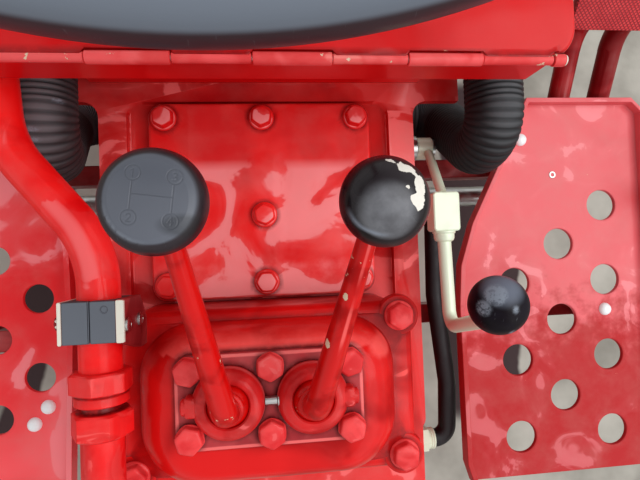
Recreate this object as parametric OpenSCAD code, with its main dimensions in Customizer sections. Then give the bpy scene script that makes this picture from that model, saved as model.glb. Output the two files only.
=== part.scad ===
// Middle section of a vintage farm tractor, seen from the driver's seat:
// gearbox housing with its gear levers, footplates, pedals, tool box and steering wheel.
// X is to the driver's right, Y is forward, Z is up. The origin is on the floor,
// at the middle of the housing's flat foot.

/* [Gearbox housing] */
// Length of the housing along the tractor
housing_l = 460; // [430:1:520]
// Width of the housing over its side walls
housing_w = 288; // [280:1:300]
// Height of the deck above the foot
deck_z = 328; // [318:1:340]
// Radius of the housing's lower edges
sump_r = 45; // [20:1:60]
// Width of the raised rail along each edge of the deck
rail_w = 24; // [18:1:26]
// Height of the raised rail above the deck
rail_h = 9; // [4:1:11]
// Height of the shaft line above the foot
shaft_z = 165; // [160:1:172]
// Radius of the round end flanges
flange_r = 156; // [150:1:158]
// Thickness of the end flanges
flange_t = 18; // [12:1:24]
// Diameter of the front flange's bolt circle
front_pcd = 250; // [244:1:256]
// Diameter of the rear flange's bolt circle
rear_pcd = 236; // [226:1:240]
// Number of flange bolt holes
flange_bolts = 8; // [6:1:12]
// Diameter of the flange bolt holes
flange_hole_d = 10.5; // [8:0.5:13]
// Thickness of the side ribs
rib_t = 12; // [8:1:16]
// How far the side ribs stand out
rib_out = 9; // [5:1:11]
// Diameter of the input shaft's free end
input_d = 35; // [28:1:38]
// Diameter of the output shaft's free end
output_d = 40; // [39:1:46]
// Free length of the gearbox shafts
shaft_out = 55; // [40:1:70]
// Outer diameter of the shaft retainers
retainer_d = 110; // [90:1:130]
// Thickness of the shaft retainers
retainer_t = 14; // [8:1:20]

/* [Inspection cover] */
// Width of the cover
cover_w = 202; // [196:1:206]
// Length of the cover
cover_l = 178; // [170:1:179]
// Thickness of the cover
cover_t = 12; // [8:1:14]
// Middle of the cover, forward of the origin
cover_y = 49; // [48:1:50]
// Distance of the bolts from the cover's edges
cover_inset = 14; // [12:1:17]
// Across flats of the M10 bolts
bolt_af = 17; // [16:1:18]
// Height of a bolt head
bolt_head = 7; // [6:0.5:8]
// Diameter of the bolt washers
washer_d = 23; // [21:1:24]
// Thickness of the bolt washers
washer_t = 2; // [1:0.5:3]

/* [Shift tower] */
// Width of the tower's base
tower_w = 232; // [226:1:236]
// Depth of the tower's base along the tractor
tower_d = 134; // [130:1:136]
// Middle of the tower, rearward of the origin
tower_back = 109; // [109:1:114]
// Height of the tower's base ledge above the deck
ledge_h = 74; // [66:1:80]
// Height of the tower's top above the deck
tower_h = 110; // [104:1:116]
// Width of the top plate
plate_w = 130; // [127:1:136]
// Depth of the top plate
plate_d = 65; // [64:1:67]
// Thickness of the top plate
plate_t = 8; // [6:1:10]
// Distance between the two lever sockets
socket_pitch = 57; // [54:1:60]
// Outer diameter of a lever socket
socket_d = 49; // [47:1:50]
// Diameter of the lever ball
ball_d = 30; // [28:1:31]
// Running gap round the lever ball
ball_gap = 0.4; // [0.3:0.1:0.6]
// Diameter of the cross pin through a lever ball
cross_pin_d = 8; // [6:1:9]

/* [Gear levers] */
// Diameter of a lever at its foot
lever_foot_d = 18; // [15:0.5:18.5]
// Diameter of a lever under its knob
lever_tip_d = 9.5; // [8:0.5:12]
// Diameter of the left lever's flat knob
left_knob_d = 45; // [41:1:50]
// Height of the left lever's flat knob
left_knob_h = 25; // [20:1:30]
// Diameter of the right lever's round knob
right_knob_d = 41; // [36:1:46]
// Height of the right lever's round knob
right_knob_h = 31; // [26:1:36]

/* [Feed pipe] */
// Diameter of the pipe
pipe_d = 28; // [24:1:30]
// Height of the pipe's axis above the deck
pipe_up = 112; // [109:1:114]
// Distance of the pipe from the middle, to the left
pipe_x = 113; // [112:1:115]
// Across flats of the union nuts
union_af = 36; // [34:1:38]
// Width of the clamp over its plastic halves
clamp_w = 33; // [32:1:36]
// Length of the clamp along the pipe
clamp_l = 27; // [24:1:30]
// Height of the clamp
clamp_h = 42; // [40:1:46]

/* [Tool box] */
// Width of the box
box_w = 400; // [390:1:404]
// Depth of the box along the tractor
box_d = 185; // [170:1:187]
// Outside height of the box
box_h = 41; // [38:1:50]
// Height of the hinge line above the deck
hinge_up = 152; // [150:1:156]
// Distance of the hinge line forward of the origin
hinge_y = 122; // [118:1:124]
// Sheet thickness of the box
box_t = 3; // [2:0.5:4]
// How far the lid overhangs the box at its sides and front
lid_over = 12; // [8:1:14]
// Sheet thickness of the lid
lid_t = 3; // [2:0.5:4]
// Depth of the lid's turned down edge
lid_edge = 12; // [8:1:16]
// Outer diameter of the thick hinge knuckles
knuckle_d = 8; // [7:0.5:9]
// Diameter of the hinge pin
hinge_pin_d = 4; // [3:0.5:5]
// Length of one hinge knuckle
knuckle_l = 50; // [40:1:60]

/* [Dash beam] */
// Width of the beam
beam_w = 286; // [276:1:290]
// Depth of the beam along the tractor
beam_d = 177; // [170:1:182]
// Height of the beam's underside above the deck
beam_up = 18; // [16:1:24]
// Radius of the beam's long edges
beam_r = 14; // [8:1:20]

/* [Footplates] */
// Height of the footplates above the floor
foot_top = 312; // [306:1:314]
// Thickness of the footplates
foot_t = 4; // [3:0.5:6]
// Distance of the right plate's outer edge from the middle
foot_out = 400; // [396:1:430]
// Distance of the plates' front edge forward of the origin
foot_front = 148; // [140:1:150]
// Distance of the plates' rear edge rearward of the origin
foot_rear = 236; // [225:1:260]
// Height of the raised edge round the plates
lip_h = 10; // [6:1:16]
// Width of the raised edge
lip_w = 5; // [4:1:8]
// How much nearer the left plate stands to the middle
left_shift = 14; // [10:1:16]

/* [Pedals] */
// Diameter of the pedal cross shaft
pedal_shaft_d = 24; // [18:1:28]
// Height of the pedal shaft above the floor
pedal_shaft_z = 215; // [205:1:222]
// Distance of the pedal shaft forward of the origin
pedal_shaft_y = 60; // [50:1:70]
// Width of the brake pedal's pad
pad_w = 92; // [80:1:96]
// Length of the pad
pad_l = 52; // [44:1:56]
// Thickness of the pad
pad_t = 8; // [6:1:12]
// Angle of the pad from the floor
pad_tilt = 38; // [30:1:45]

/* [Steering] */
// Diameter of the wheel at the middle of its rim
wheel_d = 400; // [380:1:420]
// Diameter of the rim's tube
rim_d = 28; // [24:1:30]
// Angle of the wheel from the floor
wheel_tilt = 25; // [24:1:28]
// Height of the wheel's centre above the floor
wheel_z = 759; // [750:1:780]
// Distance of the wheel's centre forward of the origin
wheel_y = 241; // [238:1:250]
// Distance of the column from the middle, to the right
column_x = -14; // [-24:1:0]
// Outer diameter of the column's tube
column_d = 38; // [34:1:42]
// Diameter of the steering shaft
steer_shaft_d = 18; // [16:1:20]
// Diameter of the steering shaft's lower end
steer_end_d = 15; // [12:1:15.5]
// Length of the column's tube
column_l = 400; // [390:1:420]

/* [Valve lever] */
// Diameter of the lever's rod
valve_rod_d = 12; // [10:1:13]
// Diameter of the lever's ball
valve_ball_d = 38; // [34:1:42]

/* [Hoses] */
// Outer diameter of the corrugated hoses
hose_d = 50; // [46:1:51]
// Depth of one corrugation
hose_wave = 2; // [1:0.5:3]
// Length of one corrugation
hose_pitch = 8; // [7:1:12]
// Diameter of the thin side hose
side_hose_d = 18; // [14:1:20]

/* [Hidden] */
$fn = 48;

red = [0.72, 0.05, 0.05];
dark_red = [0.45, 0.03, 0.04];
black = [0.07, 0.07, 0.08];
zinc = [0.80, 0.78, 0.62];
steel = [0.60, 0.61, 0.62];

half_l = housing_l / 2;
half_w = housing_w / 2;
cover_z = deck_z + cover_t;
ledge_z = deck_z + ledge_h;
tower_z = deck_z + tower_h;
plate_z = tower_z + plate_t;
tower_y = -tower_back;
socket_lead = 9;
socket_y = tower_y + socket_lead;
socket_x = socket_pitch / 2;
pivot_z = plate_z + cross_pin_d / 2 + 0.5;
pipe_z = deck_z + pipe_up;
hinge_z = deck_z + hinge_up;
beam_z = deck_z + beam_up;
box_z = hinge_z - box_h;
box_y = hinge_y + 2;
beam_y = box_y + 26;
foot_z = foot_top - foot_t;
seat_gap = 0.3;
run_gap = 0.05;

function unit(v) = v / norm(v);

// Corner data of a bent run: how far before and after a corner its bend begins and ends
function turn_of(p, i) = acos(unit(p[i] - p[i - 1]) * unit(p[i + 1] - p[i]));
function tangent_of(p, i, bend) = (i == 0 || i == len(p) - 1) ? 0 : bend * tan(turn_of(p, i) / 2);

// Places its children at p with their Z along d
module along(p, d) {
    z = unit(d);
    ref = abs(z[0]) < 0.9 ? [1, 0, 0] : [0, 1, 0];
    x = unit(cross(ref, z));
    y = cross(z, x);
    multmatrix([[x[0], y[0], z[0], p[0]], [x[1], y[1], z[1], p[1]], [x[2], y[2], z[2], p[2]], [0, 0, 0, 1]])
        children();
}

module rod(p, q, r1, r2) {
    along(p, q - p) cylinder(h = norm(q - p), r1 = r1, r2 = r2);
}

module elbow(a, b, c, bend, r) {
    u = unit(b - a);
    v = unit(c - b);
    n = unit(v - u * (u * v));
    turn = acos(u * v);
    centre = b - u * bend * tan(turn / 2) + n * bend;
    z = cross(-n, u);
    multmatrix([[-n[0], u[0], z[0], centre[0]], [-n[1], u[1], z[1], centre[1]],
                [-n[2], u[2], z[2], centre[2]], [0, 0, 0, 1]])
        rotate_extrude(angle = turn) translate([bend, 0]) circle(r);
}

// Round bar or pipe along the points p, bent round each corner with one radius.
// Each bend is a touch fuller than the straights, which reach a little way into it.
bend_swell = 0.2;
bend_lap = 1;
module bent_run(p, bend, r) {
    last = len(p) - 1;
    for (i = [0 : last - 1]) {
        u = unit(p[i + 1] - p[i]);
        start = i == 0 ? p[0] : p[i] + u * (tangent_of(p, i, bend) - bend_lap);
        end = i == last - 1 ? p[last] : p[i + 1] - u * (tangent_of(p, i + 1, bend) - bend_lap);
        rod(start, end, r, r);
    }
    for (i = [1 : last - 1]) elbow(p[i - 1], p[i], p[i + 1], bend, r + bend_swell);
}

// Rectangle with round corners, centred, from true squares and circles
module rounded(w, l, r) {
    square([w - 2 * r, l], center = true);
    square([w, l - 2 * r], center = true);
    for (x = [-1, 1], y = [-1, 1]) translate([x * (w / 2 - r), y * (l / 2 - r)]) circle(r);
}

module bolt(af, head, shank_d, shank_l, disc_d, disc_t) {
    cylinder(h = disc_t, d = disc_d);
    translate([0, 0, disc_t]) cylinder(h = head, d = af / cos(30), $fn = 6);
    if (shank_l > 0) translate([0, 0, -shank_l]) cylinder(h = shank_l, d = shank_d);
}

bolt_d = 10;
cover_bolt_places = [for (x = [-1, 1], y = [-1, 1]) [x * (cover_w / 2 - cover_inset), y * (cover_l / 2 - cover_inset)],
    [0, cover_l / 2 - cover_inset], [0, -cover_l / 2 + cover_inset], [0, -cover_inset]];

// The housing is one casting: box with round lower edges, end flanges, ribs and deck rails
module housing_section(w, h, r) {
    translate([-w / 2, r]) square([w, h - r]);
    translate([-w / 2 + r, 0]) square([w - 2 * r, h]);
    for (x = [-1, 1]) translate([x * (w / 2 - r), r]) circle(r);
}

module across_y(y0, y1) {
    translate([0, y1, 0]) rotate([90, 0, 0]) linear_extrude(y1 - y0) children();
}

boss_d = 56;
boss_out = 18;
rail_front = half_l - 30;
rail_rear = -half_l + 58;
spigot_z = 255;
spigot_y = 147;
hole_deep = 28;
rib_places = [-0.28, 0, 0.4];
rib_low = sump_r + 50;

// Wide front of the deck, which closes the rails ahead of the cover and reaches out under the hoses
wing_out = 190;
wing_rear = cover_y + cover_l / 2 + 2;
wing_front = half_l - flange_t;
wing_fillet = 14;
module deck_wing() {
    translate([-wing_out, wing_rear]) square([2 * wing_out, wing_front - wing_rear]);
    for (s = [-1, 1]) {
        translate([s * (half_w + wing_fillet / 2), wing_rear - wing_fillet / 2]) wing_corner(s);
        translate([s * (half_w - rail_w - wing_fillet / 2), wing_rear - wing_fillet / 2]) wing_corner(-s);
    }
}

module wing_corner(s) {
    difference() {
        square(wing_fillet, center = true);
        translate([s * wing_fillet / 2, -wing_fillet / 2]) circle(wing_fillet);
    }
}

module gearbox_housing() {
    color(red) difference() {
        union() {
            across_y(-half_l, half_l) housing_section(housing_w, deck_z, sump_r);
            for (s = [-1, 1]) {
                across_y(s * half_l - (s > 0 ? flange_t : 0), s * half_l + (s > 0 ? 0 : flange_t))
                    translate([0, shaft_z]) circle(flange_r, $fn = 96);
                translate([s * (half_w - rail_w / 2), (rail_front + rail_rear) / 2, deck_z])
                    linear_extrude(rail_h) rounded(rail_w, rail_front - rail_rear, rail_w / 2 - 1);
                translate([s * half_w, pedal_shaft_y, pedal_shaft_z]) rotate([0, s * 90, 0])
                    cylinder(h = boss_out, d1 = boss_d + 12, d2 = boss_d);
                for (y = rib_places) translate([s * (half_w + rib_out / 2), y * housing_l, deck_z / 2 + 20])
                    cube([rib_out, rib_t, deck_z - sump_r * 2 - 40], center = true);
            }
            translate([0, 0, rib_low]) cube([housing_w + 2 * rib_out, 2 * wing_front, rib_t], center = true);
            translate([0, 0, deck_z]) linear_extrude(rail_h) deck_wing();
        }
        for (s = [-1, 1], i = [0 : flange_bolts - 1])
            translate([0, s * half_l, shaft_z]) rotate([0, (i + 0.5) * 360 / flange_bolts, 0])
                translate([(s > 0 ? front_pcd : rear_pcd) / 2, 0, 0]) rotate([90, 0, 0])
                    cylinder(h = 2 * hole_deep, d = flange_hole_d, center = true);
    }
}

module inspection_cover() {
    panel_r = 10;
    color(red) translate([0, cover_y, deck_z]) difference() {
        linear_extrude(cover_t) rounded(cover_w, cover_l, 14);
        for (p = cover_bolt_places) translate([p[0], p[1], -1]) cylinder(h = cover_t + 2, d = bolt_d + 0.4);
        // Shallow sunk fields left by the pattern, either side of the centre bolt
        for (x = [-1, 1]) translate([x * cover_w / 4.4, -1, cover_t - 1.2])
            linear_extrude(2) rounded(cover_w / 3.2, cover_l - 4.4 * cover_inset, panel_r);
    }
}

module cover_bolts() {
    color(red) for (p = cover_bolt_places) translate([p[0], cover_y + p[1], cover_z])
        bolt(bolt_af, bolt_head, bolt_d, cover_t, washer_d, washer_t);
}

base_r = 22;
dome_in = 20;
dome_rise = tower_h - ledge_h;
dome_r = 40;
dome_steps = 8;

// Outline of the tower's shoulder: straight foot, quarter-ellipse shoulders, flat top
function shoulder(hw, inset, rise) = concat(
    [[-hw, 0]],
    [for (i = [0 : dome_steps]) [-hw + inset * (1 - cos(i * 90 / dome_steps)), rise * sin(i * 90 / dome_steps)]],
    [for (i = [dome_steps : -1 : 0]) [hw - inset * (1 - cos(i * 90 / dome_steps)), rise * sin(i * 90 / dome_steps)]],
    [[hw, 0]]);

dome_w = tower_w - 2 * dome_in;
dome_d = tower_d - dome_in;
corner_in = 12;
plate_seat = 1;
side_inset = dome_w / 2 - plate_w / 2 - plate_seat;
front_inset = dome_d / 2 - plate_d / 2 - socket_lead - plate_seat;
tower_corners = [[1, 1], [1, -1], [-1, -1]];

module shift_tower() {
    color(red) difference() {
        translate([0, tower_y, deck_z]) {
            linear_extrude(ledge_h) rounded(tower_w, tower_d, base_r);
            intersection() {
                translate([0, 0, ledge_h]) linear_extrude(dome_rise) rounded(dome_w, dome_d, dome_r);
                translate([0, dome_d / 2, ledge_h]) rotate([90, 0, 0])
                    linear_extrude(dome_d) polygon(shoulder(dome_w / 2, side_inset, dome_rise));
                translate([-dome_w / 2, 0, ledge_h]) rotate([90, 0, 90])
                    linear_extrude(dome_w) polygon(shoulder(dome_d / 2, front_inset, dome_rise));
            }
        }
        for (s = socket_places) translate([s * socket_x, socket_y, pivot_z]) sphere(d = ball_d + 2 * ball_gap);
    }
}

module tower_bolts() {
    color(red) for (c = tower_corners)
        translate([c[0] * (tower_w / 2 - corner_in), tower_y + c[1] * (tower_d / 2 - corner_in), ledge_z])
            bolt(bolt_af + 2, bolt_head + 1, bolt_d, 0, washer_d + 1, washer_t);
}

plate_inset = 10;
plate_bolt_places = [for (x = [-1, 0, 1], y = [-1, 1])
    [x * (plate_w / 2 - plate_inset), y * (plate_d / 2 - plate_inset)]];
socket_places = [-1, 1];

module tower_plate() {
    color(red) translate([0, socket_y, tower_z]) difference() {
        linear_extrude(plate_t) rounded(plate_w, plate_d, 10);
        for (p = plate_bolt_places) translate([p[0], p[1], -1]) cylinder(h = plate_t + 2, d = bolt_d + 0.4);
        for (s = socket_places) translate([s * socket_x, 0, pivot_z - tower_z]) sphere(d = ball_d + 2 * ball_gap);
    }
}

module plate_bolts() {
    color(red) for (p = plate_bolt_places) translate([p[0], socket_y + p[1], plate_z])
        bolt(bolt_af, bolt_head, bolt_d, plate_t, washer_d - 4, washer_t);
}

socket_h = 13;
socket_mouth_d = 28;
nub_out = 4.5;
nub_w = 14;
nub_h = 11;
// Domed socket cap: turned outline with a round shoulder, a ball seat and an open mouth
module socket_cap(boss_side) {
    difference() {
        union() {
            rotate_extrude() polygon(concat([[0, 0], [socket_d / 2, 0]],
                [for (a = [0 : 15 : 90]) [socket_mouth_d / 2 + 2 + (socket_d / 2 - socket_mouth_d / 2 - 2) * cos(a),
                    socket_h - 7 + 7 * sin(a)]],
                [[0, socket_h]]));
            translate([boss_side * socket_d / 2, 0, 0]) linear_extrude(nub_h) rounded(2 * nub_out, nub_w, 3);
        }
        translate([0, 0, pivot_z - plate_z]) sphere(d = ball_d + 2 * ball_gap);
        cylinder(h = socket_h + 1, d = socket_mouth_d);
    }
}

module left_socket() {
    color(red) translate([-socket_x, socket_y, plate_z]) socket_cap(-1);
}

module right_socket() {
    color(red) translate([socket_x, socket_y, plate_z]) difference() {
        socket_cap(1);
        translate([0, 0, pivot_z - plate_z]) rotate([0, 90, 0])
            cylinder(h = socket_d + 30, d = cross_pin_d, center = true);
    }
}

link_d = 6;
module socket_link() {
    reach = socket_x - socket_d / 2;
    color(steel) translate([-reach, socket_y, plate_z + link_d / 2 + 1]) rotate([0, 90, 0])
        cylinder(h = 2 * reach, d = link_d);
}

module right_cross_pin() {
    color(steel) translate([socket_x - socket_d / 2 + 0.5, socket_y, pivot_z]) rotate([0, 90, 0])
        cylinder(h = socket_d + 6, d = cross_pin_d);
}

journal_step = 5;
retainer_neck = 5;
module retainer(shaft_d) {
    bore_r = (shaft_d + journal_step) / 2;
    rotate_extrude() polygon([[bore_r, 0], [retainer_d / 2, 0], [retainer_d / 2, retainer_t - 3],
        [retainer_d / 2 - 3, retainer_t], [bore_r + 10, retainer_t], [bore_r + 7, retainer_t + retainer_neck],
        [bore_r, retainer_t + retainer_neck]]);
}

module at_end(s) {
    translate([0, s * half_l, shaft_z]) rotate([s > 0 ? -90 : 90, 0, 0]) children();
}

module front_retainer() {
    color(steel) at_end(1) retainer(input_d);
}

module rear_retainer() {
    color(steel) at_end(-1) retainer(output_d);
}

// Splined shaft: thicker journal in the retainer, plain round seat, then a slimmer end with straight flutes
seat_l = 25;
spline_step = 1;
spline_w = 6;
spline_deep = 2;
module splined_shaft(shaft_d) {
    splines = 6;
    journal_l = retainer_t + retainer_neck;
    spline_r = (shaft_d - spline_step) / 2;
    difference() {
        union() {
            cylinder(h = journal_l, d = shaft_d + journal_step);
            cylinder(h = journal_l + seat_l, d = shaft_d);
            cylinder(h = journal_l + shaft_out, r = spline_r);
        }
        for (i = [0 : splines - 1]) rotate(i * 360 / splines)
            translate([spline_r - spline_deep, -spline_w / 2, journal_l + seat_l + spline_deep])
                cube([spline_w, spline_w, shaft_out]);
    }
}

module input_shaft() {
    color(steel) at_end(1) splined_shaft(input_d);
}

module output_shaft() {
    color(steel) at_end(-1) splined_shaft(output_d);
}

module drain_plug() {
    color(steel) translate([-half_w, -housing_l * 0.14, sump_r + 20]) rotate([0, -90, 0]) {
        cylinder(h = 4, d = 34);
        translate([0, 0, 4]) cylinder(h = 9, d = 24 / cos(30), $fn = 6);
    }
}

// Feed pipe from its union beside the tower to the bulkhead ahead of the beam
elbow_y = -200;
elbow_bend = 34;
union_y = -96;
hex_l = 15;
tier_l = 7;
neck_l = 4;
neck_d = 26;
elbow_hex_l = 18;
pipe_bend = 70;
pipe_front = 250;
pipe_points = [[-pipe_x, union_y, pipe_z], [-pipe_x, 8, pipe_z], [-181, 84, pipe_z - 20],
    [-196, pipe_front, pipe_z - 22]];

module feed_pipe() {
    color(red) bent_run(pipe_points, pipe_bend, pipe_d / 2);
}

// Union nut: a turned tier behind, then the hexagon with a corner upward
module union_nut() {
    color(red) translate([-pipe_x, union_y, pipe_z]) rotate([-90, 0, 0]) difference() {
        union() {
            cylinder(h = tier_l, d = union_af - 1);
            translate([0, 0, tier_l]) rotate(30) cylinder(h = hex_l, d = union_af / cos(30), $fn = 6);
        }
        translate([0, 0, -1]) cylinder(h = tier_l + hex_l + 2, d = pipe_d);
    }
}

// Elbow body: thin neck and second hexagon behind the union, bend, and a round foot on the deck
module feed_elbow() {
    hex_y = union_y - neck_l - elbow_hex_l;
    riser = [[-pipe_x, elbow_y, deck_z], [-pipe_x, elbow_y, pipe_z], [-pipe_x, hex_y, pipe_z]];
    color(red) {
        bent_run(riser, elbow_bend, pipe_d / 2);
        translate([-pipe_x, hex_y, pipe_z]) rotate([-90, 0, 0]) {
            cylinder(h = elbow_hex_l, d = union_af / cos(30), $fn = 6);
            cylinder(h = elbow_hex_l + neck_l, d = neck_d);
        }
        translate([-pipe_x, elbow_y, deck_z]) cylinder(h = 12, r = 20);
    }
}

clamp_y = -40;
plate_thin = 2.5;
module clamp_halves() {
    color(black) for (s = [-1, 1]) translate([-pipe_x + s * (clamp_w / 4 + 0.25), clamp_y, pipe_z])
        difference() {
            cube([clamp_w / 2 - 0.5, clamp_l, clamp_h], center = true);
            translate([-s * (clamp_w / 4 + 0.25), 0, 0]) rotate([90, 0, 0])
                cylinder(h = clamp_l + 2, d = pipe_d, center = true);
        }
}

// Clamp plates and their bolts; the inner plate runs down to a foot under the tower's fourth corner bolt
clamp_foot_r = 10;
clamp_foot_t = 4;
module clamp_bracket() {
    inner = -pipe_x + clamp_w / 2;
    outer = -pipe_x - clamp_w / 2 - plate_thin;
    low = pipe_z - clamp_h / 2;
    high = pipe_z + clamp_h / 2;
    rear = clamp_y - clamp_l / 2;
    front = clamp_y + clamp_l / 2;
    foot_x = -tower_w / 2 + corner_in;
    foot_y = tower_y + tower_d / 2 - corner_in;
    screw_up = clamp_h / 2 - 6;
    color(dark_red) {
        translate([inner, 0, 0]) rotate([90, 0, 90]) linear_extrude(2 * plate_thin)
            polygon([[foot_y - clamp_foot_r, ledge_z], [foot_y + clamp_foot_r, ledge_z], [front, low],
                [front, high], [rear, high], [foot_y - clamp_foot_r, low]]);
        translate([outer, rear, low]) cube([plate_thin, clamp_l, clamp_h]);
        for (z = [-1, 1]) translate([outer, clamp_y, pipe_z + z * screw_up]) rotate([0, -90, 0])
            cylinder(h = 2.5, d = 8 / cos(30), $fn = 6);
        for (z = [-1, 1]) translate([inner + 2 * plate_thin, clamp_y - 3, pipe_z + z * screw_up]) rotate([0, 90, 0])
            cylinder(h = 2.5, d = 9);
        translate([foot_x, foot_y, ledge_z]) {
            cylinder(h = clamp_foot_t, r = clamp_foot_r);
            translate([0, -clamp_foot_r, 0]) cube([inner - foot_x, 2 * clamp_foot_r, clamp_foot_t]);
            translate([0, 0, clamp_foot_t]) bolt(bolt_af, bolt_head, bolt_d, 0, washer_d - 4, washer_t);
        }
    }
}

foot_pad = 46;
ear_out = 216;
ear_y = 216;
ear_h = 37;
module dash_beam() {
    color(red) {
        translate([-beam_w / 2, beam_y + beam_d / 2, (beam_z + box_z) / 2]) rotate([90, 0, 90])
            linear_extrude(beam_w) rounded(beam_d, box_z - beam_z, beam_r);
        for (x = [-1, 1]) translate([x * 70 - foot_pad / 2, beam_y + beam_r, deck_z + rail_h])
            cube([foot_pad, foot_pad, beam_up - rail_h + 1]);
        // Bulkhead ear that holds the front end of the feed pipe
        difference() {
            translate([-ear_out, ear_y, box_z - ear_h]) cube([ear_out - beam_w / 2 + 1, 5, ear_h]);
            rod(pipe_points[2], pipe_points[3], pipe_d / 2, pipe_d / 2);
        }
    }
}

// Places of the thick knuckles along the hinge, and of the lid's thin ones between them
knuckle_starts = [for (i = [0 : 4]) -box_w / 2 - 4 + i * knuckle_l * 2];
thin_d = knuckle_d - 1.6;
lid_z = hinge_z + 0.4;

module hinge_roll(d, bore_d, x0, x1) {
    translate([x0, hinge_y, hinge_z]) rotate([0, 90, 0]) difference() {
        cylinder(h = x1 - x0, d = d);
        translate([0, 0, -1]) cylinder(h = x1 - x0 + 2, d = bore_d);
    }
}

module tool_box() {
    top = lid_z - seat_gap;
    color(red) {
        difference() {
            translate([-box_w / 2, box_y, box_z]) cube([box_w, box_d, top - box_z]);
            translate([-box_w / 2 + box_t, box_y + box_t, box_z + box_t])
                cube([box_w - 2 * box_t, box_d - 2 * box_t, top - box_z]);
            // Room for the hinge rolls and the lid's turned edge along the rear wall
            translate([-box_w / 2 - 1, hinge_y, hinge_z]) rotate([0, 90, 0])
                cylinder(h = box_w + 2, d = knuckle_d + 0.8);
        }
        for (x = knuckle_starts) {
            hinge_roll(knuckle_d, hinge_pin_d, max(x, -box_w / 2), min(x + knuckle_l, box_w / 2 + 4));
            translate([max(x, -box_w / 2), hinge_y + 2, hinge_z - knuckle_d])
                cube([min(x + knuckle_l, box_w / 2) - max(x, -box_w / 2), box_t, knuckle_d - 2.6]);
        }
    }
}

module hinge_pin() {
    color(steel) translate([-box_w / 2 - 6, hinge_y, hinge_z]) rotate([0, 90, 0])
        cylinder(h = box_w + 10, d = hinge_pin_d);
}

lid_r = 22;
module box_lid() {
    lid_w = box_w + 2 * lid_over;
    lid_len = box_d + box_y - hinge_y + lid_over;
    edge_y = hinge_y + knuckle_d;
    color(red) {
        difference() {
            union() {
                translate([0, hinge_y + lid_len / 2, lid_z]) linear_extrude(lid_t) rounded(lid_w, lid_len, lid_r);
                // Turned down edge along the sides and the front
                difference() {
                    translate([0, hinge_y + lid_len / 2, lid_z - lid_edge])
                        linear_extrude(lid_edge) rounded(lid_w, lid_len, lid_r);
                    translate([0, hinge_y + lid_len / 2, lid_z - lid_edge - 1])
                        linear_extrude(lid_edge + 1) rounded(lid_w - 2 * lid_t, lid_len - 2 * lid_t, lid_r - lid_t);
                    translate([-lid_w, hinge_y - 1, lid_z - lid_edge - 1]) cube([2 * lid_w, 40, lid_edge + 1]);
                }
            }
            for (x = knuckle_starts) translate([x - 0.6, hinge_y, hinge_z]) rotate([0, 90, 0])
                cylinder(h = knuckle_l + 1.2, d = knuckle_d + 1);
            translate([-box_w, hinge_y, hinge_z]) rotate([0, 90, 0])
                cylinder(h = 2 * box_w, d = hinge_pin_d + 2 * run_gap);
        }
        for (x = knuckle_starts) if (x + 2 * knuckle_l < box_w / 2 + 1)
            hinge_roll(thin_d, hinge_pin_d + 2 * run_gap, x + knuckle_l + 0.6, x + 2 * knuckle_l - 0.6);
    }
}

// Corrugated hose: a ribbed tube swept along its route by these functions
hose_sides = 20;
function arc_points(a, b, c, bend, n) = let(
    u = unit(b - a), v = unit(c - b), turn = acos(u * v),
    m = unit(v - u * (u * v)), centre = b - u * bend * tan(turn / 2) + m * bend)
    [for (i = [0 : n]) centre - m * bend * cos(i * turn / n) + u * bend * sin(i * turn / n)];
function straight_points(a, b, n) = [for (i = [1 : n - 1]) a + (b - a) * i / n];
function steps_in(l) = max(2, 2 * round(l / hose_pitch));
function route(p, bend) = [for (i = [0 : len(p) - 2]) let(
    u = unit(p[i + 1] - p[i]),
    a = p[i] + u * tangent_of(p, i, bend),
    b = p[i + 1] - u * tangent_of(p, i + 1, bend))
    each concat(i == 0 ? [a] : [], straight_points(a, b, steps_in(norm(b - a))),
        i == len(p) - 2 ? [b] : arc_points(p[i], p[i + 1], p[i + 2], bend,
            steps_in(bend * turn_of(p, i + 1) * PI / 180)))];
function heading(p, i) = unit(p[min(i + 1, len(p) - 1)] - p[max(i - 1, 0)]);
function carried(p, i) = i == 0
    ? unit(cross(heading(p, 0), abs(heading(p, 0)[2]) < 0.9 ? [0, 0, 1] : [1, 0, 0]))
    : let(n = carried(p, i - 1), t = heading(p, i)) unit(n - t * (n * t));
function ring(p, i, r) = let(t = heading(p, i), n = carried(p, i), m = cross(t, n))
    [for (k = [0 : hose_sides - 1]) p[i] + r * (n * cos(k * 360 / hose_sides) + m * sin(k * 360 / hose_sides))];

module ribbed_hose(points, bend, r, wave) {
    p = route(points, bend);
    last = len(p) - 1;
    pts = [for (i = [0 : last]) each ring(p, i, i % 2 == 0 ? r : r - wave)];
    sides = [for (i = [0 : last - 1], k = [0 : hose_sides - 1]) let(
        a = i * hose_sides + k, b = i * hose_sides + (k + 1) % hose_sides)
        each [[a, b + hose_sides, b], [a, a + hose_sides, b + hose_sides]]];
    front = [[for (k = [0 : hose_sides - 1]) k]];
    back = [[for (k = [hose_sides - 1 : -1 : 0]) last * hose_sides + k]];
    polyhedron(points = pts, faces = concat(sides, front, back), convexity = 6);
}

hose_bend = 30;
hose_front = 190;
hose_z = 380;
spigot_out = 14;
hose_reach = spigot_out + 41;
hose_end = half_w + spigot_out + seat_gap;
bend_y = 67;
left_hose_points = [[-171, hose_front - seat_gap, hose_z], [-171, bend_y, hose_z],
    [-half_w - hose_reach, spigot_y, spigot_z], [-hose_end, spigot_y, spigot_z]];
right_hose_points = [[204, hose_front - seat_gap, hose_z], [204, bend_y, hose_z],
    [half_w + hose_reach, spigot_y, spigot_z], [hose_end, spigot_y, spigot_z]];

module left_air_hose() {
    color(black) ribbed_hose(left_hose_points, hose_bend, hose_d / 2, hose_wave);
}

module right_air_hose() {
    color(black) ribbed_hose(right_hose_points, hose_bend, hose_d / 2, hose_wave);
}

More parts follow.
